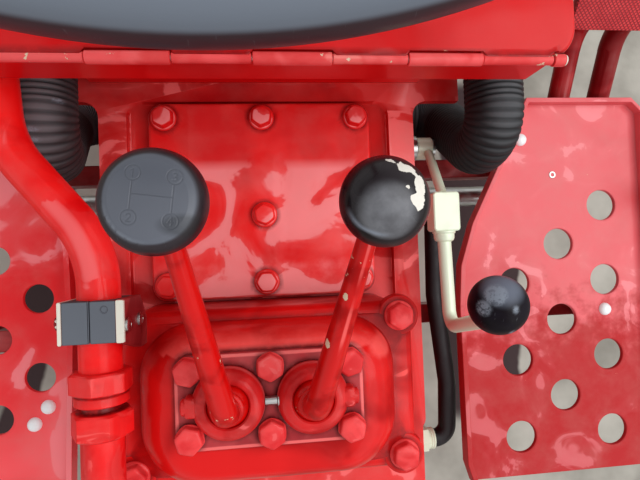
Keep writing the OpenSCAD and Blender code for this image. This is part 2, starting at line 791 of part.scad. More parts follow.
// Round spigots on the housing's sides, and one elbow on each end of the beam
module hose_spigots() {
    color(dark_red) for (s = [-1, 1]) {
        x = s < 0 ? left_hose_points[0][0] : right_hose_points[0][0];
        translate([s * half_w, spigot_y, spigot_z]) rotate([0, s * 90, 0]) cylinder(h = spigot_out, d = hose_d - 2);
        translate([x, hose_front, hose_z]) rotate([-90, 0, 0]) cylinder(h = 22, d = hose_d - 2);
        translate([min(s * (beam_w / 2), x), hose_front + 4, hose_z - 14]) cube([abs(abs(x) - beam_w / 2), 14, 28]);
    }
}

side_z = 297;
side_hose_points = [[half_w + 16, 40, side_z - 9], [half_w + 33, 40, side_z - 9], [172, -50, side_z],
    [181, -140, side_z], [182, -200, side_z - 9], [half_w + 16, -200, side_z - 9]];
module side_hose() {
    color(black) bent_run(side_hose_points, 14, side_hose_d / 2);
}

module side_hose_unions() {
    color(steel) for (i = [0, len(side_hose_points) - 1]) {
        p = side_hose_points[i];
        translate([half_w, p[1], p[2]]) rotate([0, 90, 0]) cylinder(h = p[0] - half_w, d = 22 / cos(30), $fn = 6);
    }
}

// Inner edges of the footplates, from the front corner round to the rear, as distance from the middle and Y
right_line = [[269, foot_front], [233, 74], [206, 22], [192, -20], [189, -60],
    [190, -foot_rear + 20], [196, -foot_rear]];
left_line = [[228, foot_front], [212, 90], [190, 60], [178, 10], [176, -65],
    [181, -foot_rear + 20], [187, -foot_rear]];
corner_cut = 15;
function outline(line, out, grow) = concat([for (q = line) q + [grow, 0]],
    [[out - grow, -foot_rear], [out - grow, foot_front - corner_cut], [out - corner_cut - grow, foot_front]]);

module plate(line, out, columns, row_pitch, hole_d) {
    translate([0, 0, foot_z]) difference() {
        union() {
            linear_extrude(foot_t) polygon(outline(line, out, 0));
            linear_extrude(foot_t + lip_h) intersection() {
                polygon(outline(line, out, 0));
                union() {
                    difference() {
                        polygon(outline(line, out, 0));
                        polygon(outline(line, out, lip_w));
                    }
                    translate([line[0][0], foot_front - lip_w]) square([out, lip_w]);
                }
            }
        }
        for (c = columns, i = [0 : c[2] - 1])
            translate([c[0], c[1] + i * row_pitch, -1]) cylinder(h = foot_t + 2, d = hole_d);
    }
}

// Columns of holes: distance from the middle, first hole's place, number of holes
right_columns = [[252, -197, 3], [302, -158, 3], [352, -197, 4]];
left_columns = [[209, -106, 2], [246, -142, 3], [283, -178, 4], [320, -142, 3], [357, -178, 4]];

module right_footplate() {
    color(red) plate(right_line, foot_out, right_columns, 78, 32);
}

module left_footplate() {
    color(red) mirror([1, 0, 0]) plate(left_line, foot_out - left_shift, left_columns, 72, 27);
}

// Brackets under the footplates: place along the tractor, reach from the middle, places of the two posts
bracket_rows = [[-72, foot_out - 34, 240, 350], [85, 302, 258, 290]];
bracket_t = 20;
bracket_h = 24;
bracket_drop = 34;
bracket_z = foot_z - bracket_drop - bracket_h;
post_w = 24;
module plate_brackets() {
    color(dark_red) for (s = [-1, 1], row = bracket_rows) {
        translate([s > 0 ? half_w : -row[1], row[0] - bracket_t / 2, bracket_z])
            cube([row[1] - half_w, bracket_t, bracket_h]);
        for (x = [row[2], row[3]]) translate([s * x - post_w / 2, row[0] - bracket_t / 2, bracket_z + bracket_h])
            cube([post_w, bracket_t, bracket_drop]);
    }
}

pedal_arm_x = [322, 368];
arm_r = 11;
arm_bend = 40;
pedal_hub_d = 40;
module pedal_shafts() {
    start = half_w + boss_out;
    color(steel) for (s = [-1, 1]) translate([s * start, pedal_shaft_y, pedal_shaft_z]) rotate([0, s * 90, 0]) {
        cylinder(h = pedal_arm_x[1] + 26 - start, d = pedal_shaft_d);
        translate([0, 0, pedal_arm_x[0] - 20 - start]) cylinder(h = 6, d = pedal_shaft_d + 12);
    }
}

pad_at = [0, pedal_shaft_y + 170, pedal_shaft_z + 146];
module pedal(arms) {
    centre = (pedal_arm_x[0] + pedal_arm_x[1]) / 2;
    hub_0 = min(arms) - 13;
    hub_1 = max(arms) + 13;
    difference() {
        union() {
            translate([hub_0, pedal_shaft_y, pedal_shaft_z]) rotate([0, 90, 0])
                cylinder(h = hub_1 - hub_0, d = pedal_hub_d);
            for (x = arms) {
                bent_run([[x, pedal_shaft_y, pedal_shaft_z], [x, pedal_shaft_y + 68, pedal_shaft_z + 65],
                    [x, pad_at[1] - 18, pad_at[2] - 40], [x, pad_at[1] - 6, pad_at[2] - 15]], arm_bend, arm_r);
            }
            translate([centre, pad_at[1], pad_at[2]]) rotate([pad_tilt, 0, 0]) {
                linear_extrude(pad_t) rounded(pad_w, pad_l, 8);
                for (x = arms) translate([x - centre - 8, -pad_l / 2 + 6, -16]) cube([16, pad_l - 16, 17]);
            }
        }
        translate([hub_0 - 1, pedal_shaft_y, pedal_shaft_z]) rotate([0, 90, 0])
            cylinder(h = hub_1 - hub_0 + 2, d = pedal_shaft_d + 2 * run_gap);
    }
}

module brake_pedal() {
    color(red) pedal(pedal_arm_x);
}

module clutch_pedal() {
    color(red) mirror([1, 0, 0]) pedal([(pedal_arm_x[0] + pedal_arm_x[1]) / 2]);
}

// Cross shaft of the valve lever on the housing's right side
valve_axis = [170, 102, 300];
valve_pin_d = 12;
valve_boss_l = 12;
valve_hub_l = 16;
valve_washer_gap = 0.7;
valve_washer_t = 2.5;
module valve_shaft() {
    hub_end = valve_boss_l + 1 + valve_hub_l;
    color(steel) translate([half_w, valve_axis[1], valve_axis[2]]) rotate([0, 90, 0]) {
        cylinder(h = valve_boss_l, d = 26);
        cylinder(h = hub_end + valve_washer_gap + valve_washer_t, d = valve_pin_d);
        translate([0, 0, hub_end + valve_washer_gap]) cylinder(h = valve_washer_t, d = 18);
    }
}

block_at = [161, 31, 360];
block_size = [24, 35, 20];
valve_ball_at = [146.5, -39, 486];
module valve_lever() {
    hub_x = half_w + valve_boss_l + 1;
    color(zinc) {
        difference() {
            translate([hub_x, valve_axis[1], valve_axis[2]]) rotate([0, 90, 0]) cylinder(h = valve_hub_l, d = 22);
            valve_bore(hub_x);
        }
        difference() {
            union() {
                rod([168, 94, 308], block_at + [0, 16, 0], 4.5, 4.5);
                bent_run([block_at + [0, -27, 0], block_at + [2, -104, 0], [157, -56, 440], valve_ball_at],
                    14, valve_rod_d / 2);
            }
            translate(block_at) cube(block_size, center = true);
            translate(valve_ball_at) sphere(d = valve_ball_d);
            valve_bore(hub_x);
        }
    }
}

module valve_bore(hub_x) {
    translate([hub_x - 1, valve_axis[1], valve_axis[2]]) rotate([0, 90, 0])
        cylinder(h = valve_hub_l + 2, d = valve_pin_d + 2 * run_gap);
}

module valve_block() {
    color(zinc) {
        translate(block_at) cube(block_size, center = true);
        rod(block_at + [0, -17.5, 0], block_at + [0, -27, 0], 10, 8.5);
    }
}

module valve_ball() {
    color(black) translate(valve_ball_at) sphere(d = valve_ball_d);
}

// Gear levers: ball, upright foot, slanted tapered rod and the spigot inside the knob
knob_depth = 9;
module gear_lever(x, elbow_at, top) {
    difference() {
        union() {
            translate([x, socket_y, pivot_z]) sphere(d = ball_d);
            rod([x, socket_y, pivot_z], elbow_at, lever_foot_d / 2, lever_foot_d / 2);
            translate(elbow_at) sphere(d = lever_foot_d + 2 * bend_swell);
            rod(elbow_at, top, lever_foot_d / 2, lever_tip_d / 2);
            rod(top - unit(top - elbow_at), top + knob_depth * unit(top - elbow_at),
                lever_tip_d / 2 - 0.5, lever_tip_d / 2 - 0.5);
        }
        translate([x, socket_y, pivot_z]) rotate([0, 90, 0])
            cylinder(h = ball_d + 2, d = cross_pin_d + 2 * run_gap, center = true);
    }
}

foot_up = 26;
left_foot = [-socket_x, socket_y, pivot_z + foot_up];
right_foot = [socket_x, socket_y, pivot_z + foot_up];
left_top = [-45.5, 23, 561];
right_top = [53.5, 21, 556];

module left_cross_pin() {
    color(steel) translate([-socket_x, socket_y, pivot_z]) rotate([0, 90, 0])
        cylinder(h = ball_d - 4, d = cross_pin_d, center = true);
}

module left_lever() {
    color(red) gear_lever(-socket_x, left_foot, left_top);
}

module right_lever() {
    color(red) gear_lever(socket_x, right_foot, right_top);
}

// Flat knob with a long round edge, and a domed knob, both turned shapes
module left_knob() {
    r = left_knob_d / 2;
    h = left_knob_h;
    color(black) difference() {
        translate(left_top) rotate_extrude() polygon(concat([[0, 0], [8, 0]],
            [for (a = [-90 : 15 : 60]) [r - 8 + 8 * cos(a), h - 11 + 8 * sin(a)]],
            [[0, h]]));
        knob_bore(left_foot, left_top);
    }
}

// Bore for the lever's tip, slanted as the lever is
module knob_bore(foot, top) {
    d = unit(top - foot);
    rod(top - 12 * d, top + 0.05 * d, lever_tip_d / 2 + 0.6, lever_tip_d / 2 + 0.05);
    rod(top, top + knob_depth * d, lever_tip_d / 2 - 0.5, lever_tip_d / 2 - 0.5);
}

module right_knob() {
    r = right_knob_d / 2;
    h = right_knob_h;
    color(black) difference() {
        translate(right_top) rotate_extrude() polygon(concat([[0, 0], [7.5, 0]],
            [for (a = [-60 : 15 : 75]) [r * cos(a), h - r * 0.72 + r * 0.72 * sin(a)]], [[0, h]]));
        knob_bore(right_foot, right_top);
    }
}

// Steering: everything below is built round the wheel's own axis, then tilted
module steer_frame() {
    translate([column_x, wheel_y, wheel_z]) rotate([wheel_tilt, 0, 0]) children();
}

hub_d = 64;
hub_h = 44;
shaft_end = 42;
shaft_collar = 4;
module steering_wheel() {
    color(black) steer_frame() {
        rotate_extrude($fn = 96) translate([wheel_d / 2, 0]) circle(d = rim_d);
        for (a = [30, 150, 270]) rotate(a)
            rod([hub_d / 2 - 4, 0, -8], [wheel_d / 2 - 2, 0, 0], 8, 6.5);
        translate([0, 0, -hub_h + 18]) cylinder(h = hub_h - 10, d1 = hub_d - 14, d2 = hub_d);
        translate([0, 0, 8]) cylinder(h = 8, d1 = hub_d, d2 = hub_d - 20);
    }
}

tube_top = -hub_h + 18 - 5;
module steering_shaft() {
    color(steel) steer_frame() translate([0, 0, tube_top - column_l - shaft_collar]) {
        cylinder(h = column_l + shaft_collar + 5, d = steer_shaft_d);
        translate([0, 0, -shaft_end]) cylinder(h = shaft_end + 1, d = steer_end_d);
    }
}

module steering_column() {
    wall = 4;
    bush = 20;
    rs = steer_shaft_d / 2 + run_gap;
    ro = column_d / 2;
    color(red) steer_frame() translate([0, 0, tube_top - column_l]) rotate_extrude()
        polygon([[rs, 0], [ro, 0], [ro, column_l], [rs, column_l], [rs, column_l - bush],
            [ro - wall, column_l - bush - 6], [ro - wall, bush + 6], [rs, bush]]);
}

collar_down = 350;
module column_bracket() {
    arm_w = 44;
    collar_at = [column_x, wheel_y + collar_down * sin(wheel_tilt), wheel_z - collar_down * cos(wheel_tilt)];
    color(red) difference() {
        union() {
            steer_frame() translate([0, 0, -collar_down - 17]) cylinder(h = 34, d = column_d + 20);
            translate([column_x - arm_w / 2, beam_y + beam_d, collar_at[2] - 36])
                cube([arm_w, collar_at[1] - beam_y - beam_d, 24]);
        }
        steer_frame() translate([0, 0, -collar_down - 80]) cylinder(h = 160, d = column_d);
    }
}

gearbox_housing();
inspection_cover();
cover_bolts();
shift_tower();
tower_bolts();
tower_plate();
plate_bolts();
left_socket();
right_socket();
socket_link();
right_cross_pin();
front_retainer();
rear_retainer();
input_shaft();
output_shaft();
drain_plug();
feed_pipe();
union_nut();
feed_elbow();
clamp_halves();
clamp_bracket();
dash_beam();
tool_box();
hinge_pin();
left_air_hose();
right_air_hose();
hose_spigots();
side_hose();
side_hose_unions();
left_footplate();
right_footplate();
plate_brackets();
pedal_shafts();
valve_shaft();
column_bracket();
steering_column();
left_cross_pin();
left_lever();
left_knob();
right_lever();
right_knob();
valve_lever();
valve_block();
valve_ball();
box_lid();
brake_pedal();
clutch_pedal();
steering_wheel();
steering_shaft();
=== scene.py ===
"""Looks for the driver's station of a vintage tractor: red enamel over castings and sheet,
black moulded knobs, rubber hoses and the scuffs of long use. Millimetres until a mesh is made."""
import math

import bmesh
import bpy
import numpy as np
from mathutils import Matrix, Vector


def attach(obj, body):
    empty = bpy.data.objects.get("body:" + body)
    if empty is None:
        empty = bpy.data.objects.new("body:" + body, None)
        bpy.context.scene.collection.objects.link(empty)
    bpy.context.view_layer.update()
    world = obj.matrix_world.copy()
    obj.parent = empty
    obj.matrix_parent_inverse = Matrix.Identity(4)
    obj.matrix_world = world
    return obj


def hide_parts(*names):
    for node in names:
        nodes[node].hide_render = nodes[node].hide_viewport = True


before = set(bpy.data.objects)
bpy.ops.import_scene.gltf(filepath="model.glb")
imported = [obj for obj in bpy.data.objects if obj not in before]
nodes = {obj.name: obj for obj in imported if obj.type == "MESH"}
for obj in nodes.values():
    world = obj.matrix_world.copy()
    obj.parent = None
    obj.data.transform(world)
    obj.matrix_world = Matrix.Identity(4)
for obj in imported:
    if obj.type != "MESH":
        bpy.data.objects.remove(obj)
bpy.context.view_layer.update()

MM = 0.001


# Camera: looks straight down from above the gear knobs, a little turned

PHOTO_WIDE, PHOTO_HIGH = 640, 480
LENS = 27.0
SENSOR = 36.0
EYE_HEIGHT = 0.780
ROLL = math.radians(2.2)
NADIR = (266.0, 253.0)
FOCAL = LENS / SENSOR * PHOTO_WIDE


def camera_axes():
    """Right, up and back of the camera, from where the plumb line lands in the picture."""
    slope_x = (NADIR[0] - PHOTO_WIDE / 2) / FOCAL
    slope_y = (NADIR[1] - PHOTO_HIGH / 2) / FOCAL
    down = Vector((slope_x, slope_y, 1)).normalized()
    level = Vector((math.cos(ROLL), -math.sin(ROLL), 0))
    x = (level - down * level.dot(down)).normalized()
    z = -down
    y = z.cross(x)
    right, picture_down, ahead = Matrix((x, y, z)).transposed()
    return right, -picture_down, -ahead


def placed(name, data):
    """New object in the scene round some data."""
    made = bpy.data.objects.new(name, data)
    bpy.context.scene.collection.objects.link(made)
    return made


def make_camera():
    """Camera at the photo's eye point, 27 mm lens, set as the scene's own."""
    data = bpy.data.cameras.new("camera")
    data.lens = LENS
    data.sensor_width = SENSOR
    data.clip_start = 0.01
    camera = placed("camera", data)
    turn = Matrix(camera_axes()).transposed()
    camera.matrix_world = Matrix.Translation((0, 0, EYE_HEIGHT)) @ turn.to_4x4()
    bpy.context.scene.camera = camera


# Shader nodes

class Value:
    """One output of a shader node, with arithmetic that adds the maths nodes for it."""

    def __init__(self, tree, socket):
        self.tree = tree
        self.socket = socket

    def __add__(self, other):
        return maths("ADD", self, other)

    def __sub__(self, other):
        return maths("SUBTRACT", self, other)

    def __rsub__(self, other):
        return maths("SUBTRACT", other, self)

    def __mul__(self, other):
        return maths("MULTIPLY", self, other)

    def __abs__(self):
        return maths("ABSOLUTE", self)


def wire(made, inputs):
    """Gives each named input of a node a number, a colour or a Value of the same tree."""
    for key, value in inputs.items():
        if isinstance(value, Value):
            value.tree.links.new(value.socket, made.inputs[key])
        else:
            made.inputs[key].default_value = value


def put(tree, kind, output, inputs=None, **settings):
    """Adds a shader node and returns one of its outputs."""
    made = tree.nodes.new("ShaderNode" + kind)
    for key, value in settings.items():
        setattr(made, key, value)
    wire(made, inputs or {})
    return Value(tree, made.outputs[output])


def maths(operation, a, b=0.0):
    """One maths node on two numbers, at least one of them a Value."""
    tree = a.tree if isinstance(a, Value) else b.tree
    return put(tree, "Math", 0, {0: a, 1: b}, operation=operation)


def clamped(value):
    """The same maths node, kept between 0 and 1."""
    value.socket.node.use_clamp = True
    return value


def larger(a, b):
    """The greater of two values at each point."""
    return maths("MAXIMUM", a, b)


def between(value, low, high, to_low=0.0, to_high=1.0):
    """Smooth step of value from low to high."""
    return put(value.tree, "MapRange", 0, {0: value, 1: low, 2: high, 3: to_low, 4: to_high},
               interpolation_type="SMOOTHSTEP")


def painted(colour):
    """A colour written 0 to 255, as the linear value that a shader takes; a Value stays as it is."""
    if isinstance(colour, Value):
        return colour
    share = [c / 255 for c in colour]
    return (*[c / 12.92 if c <= 0.04045 else ((c + 0.055) / 1.055) ** 2.4 for c in share], 1.0)


def blended(share, first, second):
    """First colour where the share is 0, second where it is 1."""
    return put(share.tree, "Mix", 2, {0: share, 6: painted(first), 7: painted(second)}, data_type="RGBA")


def noise(place, scale, detail=4.0, rough=0.55, warp=0.0):
    """Fractal noise between 0 and 1, scale in waves per metre."""
    return put(place.tree, "TexNoise", 0, {"Vector": place, "Scale": scale, "Detail": detail,
                                           "Roughness": rough, "Distortion": warp})


def object_place(tree):
    """Place of the shaded point in the object, in metres."""
    return put(tree, "TexCoord", "Object")


def facing_way(tree):
    """Outward normal of the surface, before any bump."""
    return put(tree, "NewGeometry", "Normal")


def mesh_value(tree, name):
    """A measure that piece() stored on the mesh under this name; 0 where there is none."""
    return put(tree, "Attribute", "Fac", attribute_name=name)


def part(vector, axis):
    """X, Y or Z of a vector."""
    return put(vector.tree, "SeparateXYZ", axis, {0: vector})


def dot(a, b):
    """Dot product of two directions: the cosine of the angle between them."""
    return put(a.tree, "VectorMath", "Value", {0: a, 1: b}, operation="DOT_PRODUCT")


def raised(height):
    """Normal bent by a height in metres."""
    return put(height.tree, "Bump", 0, {"Height": height, "Distance": 1.0, "Strength": 1.0})


def shader_group(name, result, rule, **inputs):
    """Shader group with number sockets; its rule takes the place in the object and those numbers."""
    tree = bpy.data.node_groups.new(name, "ShaderNodeTree")
    for label, value in inputs.items():
        tree.interface.new_socket(label, in_out="INPUT", socket_type="NodeSocketFloat").default_value = value
    tree.interface.new_socket(result, in_out="OUTPUT", socket_type="NodeSocketFloat")
    start = tree.nodes.new("NodeGroupInput")
    end = tree.nodes.new("NodeGroupOutput")
    wire(end, {result: rule(object_place(tree), *[Value(tree, start.outputs[label]) for label in inputs])})
    return tree


def use(tree, group, **values):
    """Places a shader group in a material with its own values; returns its one output."""
    made = tree.nodes.new("ShaderNodeGroup")
    made.node_tree = group
    wire(made, values)
    return Value(tree, made.outputs[0])


def blotches(place, scale, cover, softness):
    """Cloudy patches of uneven gloss: warped noise pressed into soft-edged islands."""
    return between(noise(place, scale, 3.0, 0.5, 0.6), cover - softness, cover + softness)


def chipped(place, scale, amount):
    """Small crisp flakes off the paint, gathered in clusters: fine noise cut by a coarse one."""
    fine = noise(place, scale, 6.0, 0.6, 0.3)
    coarse = noise(place, scale * 0.13, 2.0)
    edge = 0.76 - amount * 0.4
    return between(fine * 0.6 + coarse * 0.4, edge, edge + 0.008)


def rubbed(place, amount):
    """Edges rubbed through: where the bevelled normal leaves the true one, broken up by noise."""
    eased_normal = put(place.tree, "Bevel", 0, {"Radius": 0.0012}, samples=4)
    edge = between(1.0 - dot(eased_normal, facing_way(place.tree)), 0.02, 0.12)
    limit = 0.85 - amount * 0.6
    return edge * between(noise(place, 90.0, 5.0, 0.6), limit, limit + 0.05)


def skin(place, wave, grain):
    """Height of brushed enamel in metres: orange peel on slow waves over a sand-cast grain."""
    peel = noise(place, 420.0, 2.0) * 0.00002
    return peel + noise(place, 38.0, 1.0, 0.4) * wave + noise(place, 230.0, 5.0, 0.7) * grain


def sheen_marks(place, scale, amount, sides):
    """Painted reflections of a pale sky, crisp-edged: warped noise cut hard, where the face looks up."""
    cloud = noise(place, scale, 4.0, 0.45, 1.2)
    edge = 0.72 - amount * 0.4
    crisp = between(cloud, edge, edge + 0.03)
    haze = between(cloud, edge - 0.12, edge + 0.12)
    up = part(facing_way(place.tree), "Z")
    return (crisp * 0.62 + haze * 0.3) * larger(between(up, 0.86, 0.99), sides)


def dust_marks(place, amount):
    """Dust on faces that look up, thicker in clouds: upward normal times noise."""
    up = part(facing_way(place.tree), "Z")
    cloud = between(noise(place, 35.0, 6.0, 0.6), 0.35, 0.75)
    return between(up, 0.2, 1.0) * cloud * amount


uneven_gloss = shader_group("uneven gloss", "Patch", blotches, Scale=20.0, Cover=0.5, Softness=0.12)
paint_chips = shader_group("paint chips", "Bare", chipped, Scale=160.0, Amount=0.2)
rubbed_edges = shader_group("rubbed edges", "Bare", rubbed, Amount=0.4)
paint_skin = shader_group("paint skin", "Height", skin, Wave=0.00008, Grain=0.0)
settled_dust = shader_group("settled dust", "Dust", dust_marks, Amount=0.2)
crisp_sheen = shader_group("crisp sheen", "Sheen", sheen_marks, Scale=16.0, Amount=0.3, Sides=0.0)

# Colours of bare primer, settled dust, painted shade, and the painted sheen that stands for reflections of a
# pale sky
PRIMER = (226, 196, 168)
DUST = (188, 150, 142)
PAINTED_SHADE = (66, 6, 10)
SHEEN = (236, 92, 92)


def new_finish(name):
    """Empty material: itself, its tree, its shader and the place in the object."""
    material = bpy.data.materials.new(name)
    material.use_nodes = True
    tree = material.node_tree
    return material, tree, tree.nodes["Principled BSDF"], object_place(tree)


def red_enamel(name, bright, deep, sheen=SHEEN, blotch=22.0, cover=0.5, soft=0.12, gloss=(0.3, 0.45),
               lit=0.3, lit_scale=16.0, chips=0.12, rub=0.3, grain=0.0, wave=0.00009, dust=0.1,
               chip_scale=170.0, sides=0.0, fade=None):
    """Brushed red enamel: two reds in clouds, a painted crisp pale sheen where it looks up, painted shade in
    its grooves, chips.

    The mesh's glow raises the painted sheen where positive and lowers it where negative, its flake bares the
    primer, and fade names the two depths Y between which the painted sheen and the brighter red, painted
    light too, come in.
    """
    material, tree, shader, place = new_finish(name)
    patch = use(tree, uneven_gloss, Scale=blotch, Cover=cover, Softness=soft)
    glow = mesh_value(tree, "glow")
    # Painted sheen: crisp reflections of a pale sky, raised or lowered by the mesh's glow
    glint = use(tree, crisp_sheen, Scale=lit_scale, Amount=lit, Sides=sides) * clamped(glow + 1.0)
    uneven = (noise(place, 60.0, 3.0) - 0.5) * 0.5
    glint = larger(glint, between(glow + uneven, 0.25, 0.75, 0.0, 0.85))
    # Painted light by depth: less sheen and a deeper red towards low Y
    if fade:
        depth = part(place, "Y") + uneven * 0.3
        patch = larger(patch, between(depth, *fade, 0.92, 0.0))
        glint = glint * between(depth, *fade, 0.5, 1.0)
    torn = (noise(place, 330.0, 5.0, 0.65) - 0.5) * 1.6
    flaked = between(mesh_value(tree, "flake") + torn, 0.62, 0.68)
    chip = use(tree, paint_chips, Scale=chip_scale, Amount=chips)
    bare = larger(flaked, larger(chip, use(tree, rubbed_edges, Amount=rub)))
    film = use(tree, settled_dust, Amount=dust)
    broken = between(noise(place, 150.0, 4.0, 0.6), 0.25, 0.6, 0.55, 1.0)
    colour = blended(patch, bright, deep)
    colour = blended(glint, colour, sheen)
    colour = blended(film, colour, DUST)
    # Painted shade from the mesh's measure, broken up by noise
    colour = blended(mesh_value(tree, "painted_shade") * broken, colour, PAINTED_SHADE)
    colour = blended(bare, colour, PRIMER)
    height = use(tree, paint_skin, Wave=wave, Grain=grain) - bare * 0.00012
    wire(shader, {
        "Base Color": colour,
        "Roughness": between(patch, 0.0, 1.0, *gloss) + film * 0.5,
        "Specular IOR Level": 0.1,
        "Coat Weight": between(patch, 0.0, 1.0, 0.45, 0.12) * (1.0 - bare),
        "Coat Roughness": 0.12,
        "Coat IOR": 1.3,
        "Normal": raised(height)})
    return material


def moulded_black(name, face, worn, top, gloss=(0.3, 0.5), scratches=0.5, coat=0.2, cloud=45.0, specular=0.3,
                  towards=(0, 0, 1), turn_from=0.62, turn_to=0.98):
    """Dark moulded plastic or rubber: painted sky light makes it paler towards the sky; polish in clouds,
    scratches, pores.
    """
    material, tree, shader, place = new_finish(name)
    polish = use(tree, uneven_gloss, Scale=cloud, Cover=0.5, Softness=0.2)
    up = dot(facing_way(tree), Vector(towards).normalized())
    stretched = put(tree, "Mapping", 0, {"Vector": place, "Rotation": (0.3, 0.2, 0.7),
                                         "Scale": (9.0, 1.0, 1.0)})
    scuff = between(noise(stretched, 160.0, 3.0, 0.7), 0.66, 0.72) * scratches
    broken = between(noise(place, 380.0, 5.0, 0.65), 0.4, 0.52, 0.3, 1.0)
    colour = blended(polish, face, worn)
    # Painted sky light: the top colour where the face turns towards the sky
    colour = blended(between(up, turn_from, turn_to), colour, top)
    colour = blended(scuff * 0.35, colour, (120, 124, 130))
    # Pale marks from the mesh's glare: painted highlights on the knobs, mud on the left hose, scuffs on the
    # ball
    colour = blended(mesh_value(tree, "glare") * broken, colour, (136, 144, 156))
    # Painted shade from the mesh's measure: in grooves and rib valleys, and a painted dark reflection on the
    # left knob
    colour = blended(mesh_value(tree, "painted_shade"), colour, (14, 14, 17))
    height = noise(place, 900.0, 2.0) * 0.00001 - scuff * 0.00001
    wire(shader, {"Base Color": colour, "Roughness": between(polish, 0.0, 1.0, *gloss),
                  "Specular IOR Level": specular, "Coat Weight": coat, "Coat Roughness": 0.22,
                  "Coat IOR": 1.3, "Normal": raised(height)})
    return material


def worn_knob():
    """Black lacquer over a white core: bare where the worn distance, roughened by noise, is positive."""
    material, tree, shader, place = new_finish("worn black knob")
    ragged = (noise(place, 260.0, 6.0, 0.65) - 0.5) * 4.0
    bare = between(mesh_value(tree, "worn") + ragged, 0.0, 0.12)
    polish = use(tree, uneven_gloss, Scale=55.0, Cover=0.5, Softness=0.2)
    # Painted sky sheen: paler where the knob faces up, broken into clouds
    cloudy = between(noise(place, 90.0, 5.0, 0.6), 0.3, 0.7, 0.55, 1.0)
    painted_sky_sheen = between(dot(facing_way(tree), (-0.1, -0.3, 0.95)), 0.78, 0.95) * cloudy
    lacquer = blended(polish, (24, 17, 21), (30, 22, 27))
    lacquer = blended(painted_sky_sheen, lacquer, (112, 113, 118))
    # Painted highlight from the mesh's glare
    lacquer = blended(mesh_value(tree, "glare"), lacquer, (142, 150, 164))
    core = blended(noise(place, 500.0), (240, 236, 226), (222, 216, 206))
    wire(shader, {"Base Color": blended(bare, lacquer, core),
                  "Roughness": between(polish, 0.0, 1.0, 0.22, 0.44) + bare * 0.3,
                  "Coat Weight": 0.2 - bare * 0.2, "Coat Roughness": 0.25, "Coat IOR": 1.3,
                  "Specular IOR Level": 0.2, "Normal": raised(bare * -0.00018)})
    return material


def machined_steel(name, tint, rust, rough=(0.28, 0.5), metallic=1.0, rust_share=0.35):
    """Turned or plated steel: fine turning marks, dulled clouds and a little rust in its pores."""
    material, tree, shader, place = new_finish(name)
    cloud = use(tree, uneven_gloss, Scale=60.0, Cover=0.55, Softness=0.15)
    spots = between(noise(place, 320.0, 6.0, 0.7), 0.62, 0.7) * cloud * rust_share
    wire(shader, {"Base Color": blended(spots, tint, rust), "Roughness": between(cloud, 0.0, 1.0, *rough),
                  "Metallic": (1.0 - spots) * metallic,
                  "Normal": raised(noise(place, 1400.0, 2.0) * 0.000008)})
    return material


def checkered_red():
    """Red tread of small raised diamonds: crossed sine ridges in the pad's own plane, darker between them."""
    material, tree, shader, place = new_finish("checkered pad")
    flat = put(tree, "Mapping", 0, {"Vector": place, "Rotation": (-PAD_TILT, 0, 0)})
    pitch = 2 * math.pi / 0.0042
    x, y = part(flat, "X"), part(flat, "Y")
    diamond = between(abs(maths("SINE", (x + y) * (pitch / 2))) * abs(maths("SINE", (x - y) * (pitch / 2))),
                      0.18, 0.5)
    top = blended(between(noise(place, 60.0, 4.0), 0.35, 0.65), (214, 58, 62), (196, 44, 50))
    wire(shader, {"Base Color": blended(diamond, (150, 34, 42), top), "Roughness": 0.5,
                  "Specular IOR Level": 0.25, "Normal": raised(diamond * 0.0009)})
    return material


casting_red = red_enamel("red enamel on casting", (220, 18, 18), (172, 8, 10), grain=0.00008, blotch=15.0,
                         cover=0.56, lit=0.12, sheen=(250, 88, 84), dust=0.0)
cover_red = red_enamel("red enamel on cover", (246, 34, 34), (224, 18, 22), blotch=12.0, cover=0.52,
                       wave=0.0002, chips=0.05, lit=0.62, lit_scale=15.0, sheen=(255, 142, 144))
plate_top_red = red_enamel("red enamel on tower plate", (176, 50, 56), (150, 38, 44), grain=0.00006,
                           blotch=26.0, chips=0.1, lit=0.1, lit_scale=26.0, sheen=(244, 112, 110))
# Pinkish red: painted highlight on the bolt heads
bolt_red = red_enamel("red enamel on bolts", (238, 66, 68), (214, 40, 44), blotch=50.0, chips=0.16,
                      lit=0.3, lit_scale=60.0, rub=0.1)
socket_red = red_enamel("red enamel on sockets", (214, 30, 32), (180, 12, 16), blotch=40.0, chips=0.22,
                        lit=0.3, lit_scale=40.0, rub=0.2, grain=0.00006)
sheet_red = red_enamel("red enamel on sheet", (212, 12, 16), (188, 8, 12), blotch=8.0, cover=0.55,
                       chips=0.08, wave=0.00006, lit=0.05, lit_scale=9.0, soft=0.2, dust=0.02)
# Pinkish red: painted highlight along the hinge rolls
hinge_red = red_enamel("red enamel on hinge", (238, 82, 84), (222, 58, 60), blotch=30.0, chips=0.42,
                       chip_scale=120.0, lit=0.3, rub=0.1, sheen=(246, 128, 122), sides=0.5)
